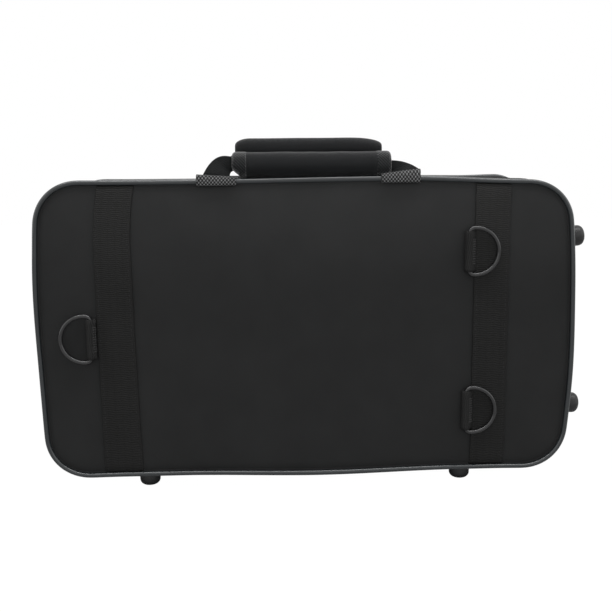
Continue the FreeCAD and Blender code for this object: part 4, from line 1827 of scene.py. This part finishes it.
@dataclass
class Closure:
    """One half's share of the zip: its tape, its teeth, its stitches and the binding over the board's rim."""

    shell: Shell
    phase: float
    tape_reach: float = 10.2
    tape_gap: float = 1.0
    tape_inset: float = 2.15
    tape_thickness: float = 0.5
    tooth: Bead = Bead(2.7, 0.95, 1.15, 8, 5)
    tooth_inset: float = 2.2
    tooth_back: float = 1.42
    pitch: float = 2.0
    setback: float = 7.5
    stitch_pitch: float = 3.4
    stitch_back: float = 1.3
    bind_outer: float = 2.95
    bind_inner: float = 7.75
    bind_drop: float = 6.2
    bind_gap: float = 0.35

    def y(self, back: float) -> float:
        """The Y of a place this far back from the parting."""
        return self.shell.y(self.shell.depth - back)

    def make_tape(self) -> None:
        """Makes the woven tape of this half."""
        top, low = self.tape_inset, self.tape_inset + self.tape_thickness
        section = [
            (top, self.y(self.tape_reach)), (top, self.y(4.6)), (top - 0.12, self.y(4.2)),
            (top - 0.12, self.y(self.tape_gap + 0.2)), (top + 0.1, self.y(self.tape_gap)),
            (low, self.y(self.tape_gap)), (low, self.y(4.4)), (low, self.y(self.tape_reach)),
        ]
        bm = Sweep(self.shell.outline).whole(section, bottom=False)
        node = "zip_tape_" + self.shell.side.value
        self.shell.shop.finish(
            bm, node + "_woven", ZIP_TAPE, self.shell.side.body, (node,),
            lambda co, centre: (self.shell.outline.along(co.x, co.z), co.y),
        )

    def make_teeth(self) -> None:
        """Makes the coil's turns, one ball-ended turn at each pitch."""
        line = self.shell.outline
        straight, corner, end = line.lengths(self.tooth_inset)
        stop = straight + 2 * (corner + end) - self.setback
        seats = []
        for i in range(int(stop / self.pitch)):
            place, out = line.place((i + self.phase) * self.pitch, self.tooth_inset)
            place.y = self.y(self.tooth_back)
            seats.append(self.tooth.seat(place, Vector((0, 1, 0)), out))
            if place.x > self.pitch / 4:
                flip = Vector((-1, 1, 1))
                seats.append(self.tooth.seat(place * flip, Vector((0, 1, 0)), out * flip))
        node, side = "zip_coil_" + self.shell.side.value, self.shell.side
        bm = self.tooth.scatter(seats)
        self.shell.shop.finish(bm, node + "_turns", COIL, side.body, (node,))

    def make_stitches(self) -> None:
        """Makes the row of stitches along the side wall's hem."""
        line = self.shell.outline
        inset = self.shell.wall_inset + 0.05
        quarter = sum(line.lengths(inset))
        seats = []
        count = round(2 * quarter / self.stitch_pitch)
        for i in range(count):
            s = (i + 0.5) * 2 * quarter / count
            place, out = line.place(s, inset)
            ahead, _ = line.place(min(s + 0.5, 2 * quarter), inset)
            behind, _ = line.place(s - 0.5, inset)
            place.y = self.y(self.shell.hem_reach + self.stitch_back)
            seats.append(STITCH.seat(place, ahead - behind, out))
            flip = Vector((-1, 1, 1))
            seats.append(STITCH.seat(place * flip, (ahead - behind) * flip, out * flip))
        name, bm = self.shell.side.value + "_hem_stitches", STITCH.scatter(seats)
        self.shell.shop.finish(bm, name, THREAD, self.shell.side.body, slot=CLOTH.slot)

    def make_binding(self) -> None:
        """Makes the cloth that folds over the board's rim and tucks in beside the lining."""
        outer, inner, gap = self.bind_outer, self.bind_inner, self.bind_gap
        section = [
            (outer, self.y(4.2)), (outer + 0.05, self.y(gap + 1.4)), (outer + 0.5, self.y(gap + 0.5)),
            (outer + 1.5, self.y(gap)), (inner - 0.9, self.y(gap)), (inner - 0.2, self.y(gap + 0.3)),
            (inner, self.y(gap + 0.9)), (inner, self.y(self.bind_drop)),
            (inner - 0.45, self.y(self.bind_drop)), (inner - 0.5, self.y(gap + 1.2)),
            (outer + 1.6, self.y(gap + 1.1)), (outer + 0.6, self.y(gap + 1.8)), (outer + 0.5, self.y(4.2)),
        ]
        bm = Sweep(self.shell.outline).whole(section)
        name = self.shell.side.value + "_rim_binding"
        self.shell.shop.finish(
            bm, name, STRAP, self.shell.side.body, slot=CLOTH.slot,
            uv=lambda co, centre: (self.shell.outline.along(co.x, co.z), co.y - co.z * 0.001),
        )

    def build(self) -> None:
        """Makes this half's share of the zip."""
        self.make_tape()
        self.make_teeth()
        self.make_stitches()
        self.make_binding()


@dataclass
class Spine:
    """The cloth along the bottom that both shells hang on, and the stops sewn over the zip's ends."""

    back: Shell
    lid: Shell
    parting: float
    reach: float = 10.2
    inset: float = 1.95
    thickness: float = 0.65
    bend: float = 4.0
    stop_back: float = 9.6
    stop_front: float = 3.9
    stop_length: float = 7.2
    stop_rise: float = 0.75

    def make_cloth(self) -> None:
        """Makes the hinge cloth along the bottom, between the two shells."""
        shop, line = self.back.shop, self.back.outline
        count = 24
        ys = [self.parting - self.reach + 2 * self.reach * i / count for i in range(count + 1)]
        top = [(self.inset, y) for y in ys]
        low = [(self.inset + self.thickness, y) for y in reversed(ys)]
        bm = Sweep(line).spine(top + low)
        piece = shop.finish(
            bm, "spine_cloth", CLOTH, None,
            ("spine_leaf_back", "spine_leaf_lid"), lambda co, centre: (co.x, co.y),
        )
        z = self.inset - line.half_height
        start = shop.case.row_point(0, self.parting - self.bend, z)
        end = shop.case.row_point(0, self.parting + self.bend, z)
        Side.BACK.body
        Side.LID.body
        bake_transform(piece)

    def make_stops(self) -> None:
        """Makes the two stops sewn over the ends of the zip."""
        line = self.back.outline
        bm = bmesh.new()
        depth = self.back.depth
        y0, y1 = self.back.y(depth - self.stop_back), self.back.y(depth - self.stop_front)
        inset = self.inset + 0.2 - self.stop_rise
        ring = [(y0, 0.9), (y0 + 0.3, 0.15), (y0 + 1, 0), (y1 - 1, 0), (y1 - 0.3, 0.15), (y1, 0.9)]
        points = [(line.corner_x, y, -(line.half_height - inset - drop)) for y, drop in ring]
        edges = loop_edges(bm, points)
        bmesh.ops.spin(
            bm, geom=bm.verts[:] + edges, cent=(line.corner_x, 0, -line.corner_z), axis=(0, 1, 0),
            angle=-self.stop_length / line.radius, steps=5,
        )
        close_holes(bm)
        bmesh.ops.mirror(bm, geom=bm.verts[:] + bm.edges[:] + bm.faces[:], merge_dist=WELD, axis="X")
        self.back.shop.finish(
            bm, "zip_end_stops_sewn", STRAP, Side.BACK.body,
            ("zip_end_stops",), lambda co, centre: (co.x, co.y), slot=ZIP_TAPE.slot,
        )

    def build(self) -> None:
        """Makes the spine and the stops."""
        self.make_cloth()
        self.make_stops()


@dataclass(frozen=True)
class Pocket:
    """A rounded rectangular pocket of the insert."""

    x0: float
    x1: float
    z0: float
    z1: float
    radius: float = 6.3

    def loop(self, spread: float, steps: int = 6) -> list[Point]:
        """Draws the pocket's outline.

        Args:
            spread: How far it is spread outwards.
            steps: How many steps each corner has.

        Returns:
            Points as (x, z).
        """
        radius = self.radius + spread
        points = []
        left, right = self.x0 + self.radius, self.x1 - self.radius
        low, high = self.z0 + self.radius, self.z1 - self.radius
        for x, z, start in ((right, high, 0), (left, high, 90), (left, low, 180), (right, low, 270)):
            for i in range(steps + 1):
                turn = math.radians(start + 90 * i / steps)
                points.append((x + radius * math.cos(turn), z + radius * math.sin(turn)))
        return points

    def outward(self, place: Vector) -> Vector:
        """Works out the outward direction of the pocket's wall.

        Args:
            place: A place on the wall.

        Returns:
            The direction, in the XZ plane.
        """
        x = min(max(place.x, self.x0 + self.radius), self.x1 - self.radius)
        z = min(max(place.z, self.z0 + self.radius), self.z1 - self.radius)
        return Vector((place.x - x, 0, place.z - z)).normalized()


@dataclass
class Insert:
    """The plush-covered insert in the back shell, with a pocket for each piece of the instrument."""

    shell: Shell
    outer: float = 7.8
    wall: float = 9.6
    overlap: float = 0.1
    gap: float = 8.2
    joint_row: float = 0.228
    lower_joint: float = 0.808
    upper_joint: float = 0.716
    barrel: float = 0.220
    mouthpiece: float = 0.294
    face_depth: float = 47.3
    floor_depth: float = 10.4
    bell_depth: float = 7.4
    base_depth: float = 6.8
    lip: float = 1.8
    well: float = 3.5
    rim_steps: int = 150
    crisp_turn: float = 60.0

    def pockets(self) -> dict[str, Pocket]:
        """Lays the pockets out from the lower left corner.

        Returns:
            Each pocket by what it holds.
        """
        line = self.shell.outline
        edge = self.wall + self.outer - self.overlap
        right = line.half_width - edge
        high = line.half_height - edge
        span, row = 2 * right, 2 * high * self.joint_row
        z1 = row - high
        z2, z3 = z1 + self.gap, z1 + self.gap + row
        z4, z5 = z3 + self.gap, z3 + self.gap + row
        z6 = z5 + self.gap
        lower, middle = span * self.lower_joint - right, span * self.upper_joint - right
        barrel = span * self.barrel - right
        mouth = barrel + self.gap + span * self.mouthpiece
        return {
            "lower_joint": Pocket(-right, lower, -high, z1),
            "swab": Pocket(lower + self.gap, right, -high, z1),
            "upper_joint": Pocket(-right, middle, z2, z3),
            "barrel": Pocket(-right, barrel, z4, z5),
            "mouthpiece": Pocket(barrel + self.gap, mouth, z4, z5),
            "reeds": Pocket(mouth + self.gap, middle, z4, z5),
            "accessory": Pocket(-right, middle, z6, high),
            "bell": Pocket(middle + self.gap, right, z2, high),
        }

    def rounded(self, radius: float, start: float, inward: int, rising: bool) -> list[Point]:
        """Steps of a rounded edge, as (draw in, y) for a skirt.

        Args:
            radius: The edge's radius.
            start: The Y where it starts.
            inward: Which way the skirt goes along Y.
            rising: Whether the first steps go sideways, as from a face into a wall.

        Returns:
            The steps.
        """
        count, steps, last = 5, [], (0.0, 0.0)
        for i in range(1, count + 1):
            turn = math.pi / 2 * i / count
            side, drop = math.sin(turn), 1 - math.cos(turn)
            here = (side, drop) if rising else (drop, side)
            steps.append(((here[0] - last[0]) * radius, start + inward * here[1] * radius))
            last = here
        return steps

    def build(self) -> None:
        """Makes the insert as one plush-covered piece."""
        shell, line = self.shell, self.shell.outline
        bm = bmesh.new()
        face_y = shell.y(self.face_depth)
        down = -shell.side.inward
        rim = loop_edges(bm, [(p.x, face_y, p.z) for p in line.loop(self.outer + self.lip, self.rim_steps)])
        mouths = []
        for name, pocket in self.pockets().items():
            mouths.append((name, pocket, loop_edges(bm, [(x, face_y, z) for x, z in pocket.loop(self.lip)])))
        bmesh.ops.triangle_fill(bm, edges=bm.edges[:], use_beauty=True, normal=(0, 1, 0))
        steps = [(-draw, y) for draw, y in self.rounded(self.lip, face_y, down, True)]
        base_y = shell.y(self.base_depth)
        rim = skirt(bm, rim, steps + [(0, base_y)], line.outward)
        for name, pocket, edges in mouths:
            floor = shell.y(self.bell_depth if name == "bell" else self.floor_depth)
            walls = self.rounded(self.lip, face_y, down, True)
            walls += [(0, floor + shell.side.inward * self.well)]
            walls += self.rounded(self.well, floor + shell.side.inward * self.well, down, False)
            skirt(bm, edges, walls, pocket.outward)
        close_holes(bm)
        side = shell.side
        piece = shell.shop.finish(
            bm, "insert_plush", PLUSH, side.body,
            (
                "insert_floor", "insert_rails", "insert_long_dividers", "insert_cross_dividers",
                "insert_face_plush", "pocket_liners",
            ),
            soft=False,
        )
        shell.shop.sharpen(piece, self.crisp_turn)


@dataclass
class Lining:
    """The plush tub inside the lid."""

    shell: Shell
    outer: float = 7.85
    inner: float = 11.2
    floor_depth: float = 8.3
    base_depth: float = 6.9
    rim_back: float = 1.3
    well: float = 3.0
    rim_steps: int = 150
    crisp_turn: float = 60.0

    def build(self) -> None:
        """Makes the tub as one piece."""
        shell, line = self.shell, self.shell.outline
        inward = shell.side.inward
        bm = bmesh.new()
        base_y, rim_y = shell.y(self.base_depth), shell.y(shell.depth - self.rim_back)
        floor_y = shell.y(self.floor_depth)
        edges = loop_edges(bm, [(p.x, base_y, p.z) for p in line.loop(self.outer, self.rim_steps)])
        lip = (self.inner - self.outer) / 2
        steps = [(0.0, rim_y - inward * lip)]
        for i in range(1, 9):
            turn, last = math.pi * i / 8, math.pi * (i - 1) / 8
            draw = lip * (math.cos(last) - math.cos(turn))
            steps.append((draw, rim_y - inward * lip * (1 - math.sin(turn))))
        steps.append((0.0, floor_y + inward * self.well))
        for i in range(1, 6):
            turn, last = math.pi / 2 * i / 5, math.pi / 2 * (i - 1) / 5
            draw = self.well * (math.cos(last) - math.cos(turn))
            steps.append((draw, floor_y + inward * self.well * (1 - math.sin(turn))))
        skirt(bm, edges, steps, line.outward)
        close_holes(bm)
        piece = shell.shop.finish(
            bm, "lid_lining_plush", PLUSH, shell.side.body, ("lid_lining",),
            soft=False,
        )
        shell.shop.sharpen(piece, self.crisp_turn)


@dataclass(frozen=True)
class Lamp:
    """One soft area lamp. Places and sides are metres, and power is watts."""

    name: str
    place: tuple[float, float, float]
    width: float
    power: float
    height: float | None = None
    aim: tuple[float, float, float] = (0.0, 0.0, 0.12)
    in_shine: bool = True

    def hang(self) -> None:
        """Adds the lamp to the scene, square unless it has its own height."""
        data = bpy.data.lights.new(self.name, "AREA")
        data.shape = "RECTANGLE"
        data.size = self.width
        data.size_y = self.height or self.width
        data.energy = self.power
        lamp = bpy.data.objects.new(self.name, data)
        lamp.location = self.place
        lamp.rotation_euler = (Vector(self.aim) - lamp.location).to_track_quat("-Z", "Y").to_euler()
        lamp.visible_glossy = self.in_shine
        bpy.context.scene.collection.objects.link(lamp)


LAMPS = (
    Lamp("top_lamp", (0.0, -0.25, 1.2), 1.7, 10, 0.2, (0.0, 0.0, 0.2)),
    Lamp("front_lamp", (0.0, -1.8, 0.2), 1.4, 18, in_shine=False),
    Lamp("left_lamp", (-1.5, -0.9, 0.7), 1.0, 1.4),
    Lamp("right_lamp", (1.5, -0.7, 0.8), 1.0, 2.2),
)


@dataclass
class Studio:
    """The camera, lamps, world and floor. The camera's places are row millimetres."""

    camera_place: Vector = field(default_factory=lambda: Vector((-29.4, -601.0, 215.7)))
    camera_aim: Vector = field(default_factory=lambda: Vector((-5.6, -46.9, 127.0)))
    camera_roll: float = -0.45
    focal_pixels: float = 845.0
    frame_pixels: float = 612.0
    sensor: float = 36.0
    near_clip: float = 0.01
    far_clip: float = 50.0
    world_level: float = 0.8
    floor_size: float = 6.0
    floor_base: float = 0.4
    floor_glow: float = 1.06
    floor_glow_share: float = 0.94

    def make_camera(self) -> None:
        """Puts the camera where the photograph was taken from."""
        data = bpy.data.cameras.new("camera")
        data.sensor_width = self.sensor
        data.lens = self.sensor * self.focal_pixels / self.frame_pixels
        data.clip_start, data.clip_end = self.near_clip, self.far_clip
        forward = (self.camera_aim - self.camera_place).normalized()
        right = forward.cross(Vector((0, 0, 1))).normalized()
        up = right.cross(forward)
        roll = math.radians(self.camera_roll)
        turned_right = right * math.cos(roll) + up * math.sin(roll)
        turned_up = up * math.cos(roll) - right * math.sin(roll)
        columns = Matrix((turned_right, turned_up, -forward)).transposed().to_4x4()
        camera = bpy.data.objects.new("camera", data)
        camera.matrix_world = Matrix.Translation(self.camera_place * MM) @ columns
        bpy.context.scene.collection.objects.link(camera)
        bpy.context.scene.camera = camera

    def make_world(self) -> None:
        """Lights the scene evenly, and shows white behind it."""
        world = bpy.data.worlds.new("studio")
        bpy.context.scene.world = world
        world.use_nodes = True
        wire = Wiring(world.node_tree)
        ground = world.node_tree.nodes["Background"]
        ground.inputs["Color"].default_value = (1, 1, 1, 1)
        rays = wire.node("ShaderNodeLightPath")
        seen = wire.math("MAXIMUM", rays.outputs["Is Camera Ray"], rays.outputs["Is Glossy Ray"])
        rest = wire.math("MULTIPLY", seen, 1.0 - self.world_level)
        wire.link(wire.math("ADD", rest, self.world_level), ground.inputs["Strength"])

    def make_floor(self) -> None:
        """Adds the white floor, which shows white and keeps a faint shadow."""
        bm = bmesh.new()
        bmesh.ops.create_grid(bm, x_segments=1, y_segments=1, size=self.floor_size / 2)
        mesh = bpy.data.meshes.new("floor")
        bm.to_mesh(mesh)
        bm.free()
        floor = bpy.data.objects.new("floor", mesh)
        bpy.context.scene.collection.objects.link(floor)
        material = bpy.data.materials.new("white_floor")
        material.use_nodes = True
        wire = Wiring(material.node_tree)
        shader = material.node_tree.nodes["Principled BSDF"]
        shader.inputs["Base Color"].default_value = (self.floor_base, self.floor_base, self.floor_base, 1)
        shader.inputs["Roughness"].default_value = 0.9
        shader.inputs["Specular IOR Level"].default_value = 0.1
        glow = wire.node("ShaderNodeEmission")
        glow.inputs["Strength"].default_value = self.floor_glow
        mix = wire.node("ShaderNodeMixShader")
        rays = wire.node("ShaderNodeLightPath")
        share = wire.math("MULTIPLY", rays.outputs["Is Camera Ray"], self.floor_glow_share)
        wire.link(share, mix.inputs[0])
        wire.link(shader.outputs[0], mix.inputs[1])
        wire.link(glow.outputs[0], mix.inputs[2])
        wire.link(mix.outputs[0], material.node_tree.nodes["Material Output"].inputs["Surface"])
        mesh.materials.append(material)

    def build(self) -> None:
        """Sets up the studio."""
        bpy.context.scene.view_settings.view_transform = "Standard"
        self.make_camera()
        self.make_world()
        self.make_floor()
        for lamp in LAMPS:
            lamp.hang()


PARTING = 4.0
LEFT_STRAP = StrapShape(
    ((19.4, 2.0), (14.0, 13.0), (8.5, 18.5), (-4.0, 13.0)),
    ((1.5, 2.0), (1.0, 5.0), (0.5, 5.5), (-4.0, 5.5)),
)
RIGHT_STRAP = StrapShape(
    ((19.1, 5.0), (14.0, 9.5), (8.0, 12.0), (-4.0, 11.5)),
    ((1.0, 2.0), (0.6, 3.5), (0.0, 5.0), (-4.0, 5.5)),
)
REAR_STRAP = StrapShape(
    ((18.0, 2.0), (13.0, 9.0), (2.0, 17.0), (-6.0, 22.5)),
    ((5.0, 2.0), (4.0, 7.0), (0.0, 12.0), (-6.0, 17.0)),
)
FINISHES = (
    CLOTH, VINYL, WEBBING, DIAMOND, STRAP, GRIP_CLOTH, TAB, HEM, PALE_THREAD, ZIP_TAPE, COIL, ENAMEL, RUBBER,
    ZINC, BOARD, FOAM, PLUSH, THREAD,
)
CAD_FINISHES = (
    CLOTH, VINYL, WEBBING, GRIP_CLOTH, ZIP_TAPE, COIL, ENAMEL, RUBBER, ZINC, BOARD, FOAM, PLUSH,
)


def main() -> None:
    """Loads the frame, builds every sub-assembly and reports each piece."""
    logging.basicConfig(level=logging.INFO, format="%(message)s")
    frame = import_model()
    effects = Effects.build()
    materials = {finish: finish.build(effects) for finish in FINISHES}
    by_slot = {finish.slot: materials[finish] for finish in CAD_FINISHES}
    for part in frame["record"]["subparts"]:
        node = frame["nodes"][part["node"]]
        node.data.materials.clear()
        node.data.materials.append(by_slot[part["material_slot"]])
    case = CaseFrame.read()
    outline = Outline(case.half_width, case.half_height)
    shop = Workshop(case, outline, materials)
    back = Shell(shop, outline, Side.BACK, case.half_depth + PARTING)
    lid = Shell(shop, outline, Side.LID, case.half_depth - PARTING)
    for shell in (back, lid):
        shell.build()
        Feet(shell).build()
    Closure(back, phase=0.5).build()
    Closure(lid, phase=1.0).build()
    Spine(back, lid, PARTING).build()
    Insert(back).build()
    Lining(lid).build()
    Band(back, "band_left", lean_top=3.4, lean_middle=-1.1, lean_low=0.2, widen=0.09).build()
    Band(back, "band_right", lean_top=0.6).build()
    RingMount(shop, "left", -1, tuck=-1.5).build()
    RingMount(shop, "right_upper", 1).build()
    RingMount(shop, "right_lower", 1).build()
    straps = (LEFT_STRAP, RIGHT_STRAP)
    Handle(back, grip_in=8.0, straps=straps, lifts=(1.5, 2.6), end_lift=5.2, lift_run=5.6).build()
    Handle(lid, grip_in=4.0, straps=(REAR_STRAP, REAR_STRAP), tapers=(11.0, 20.0)).build()
    Studio().build()
    LOG.info("made %d pieces", len(shop.made))


if __name__ == "__main__":
    main()
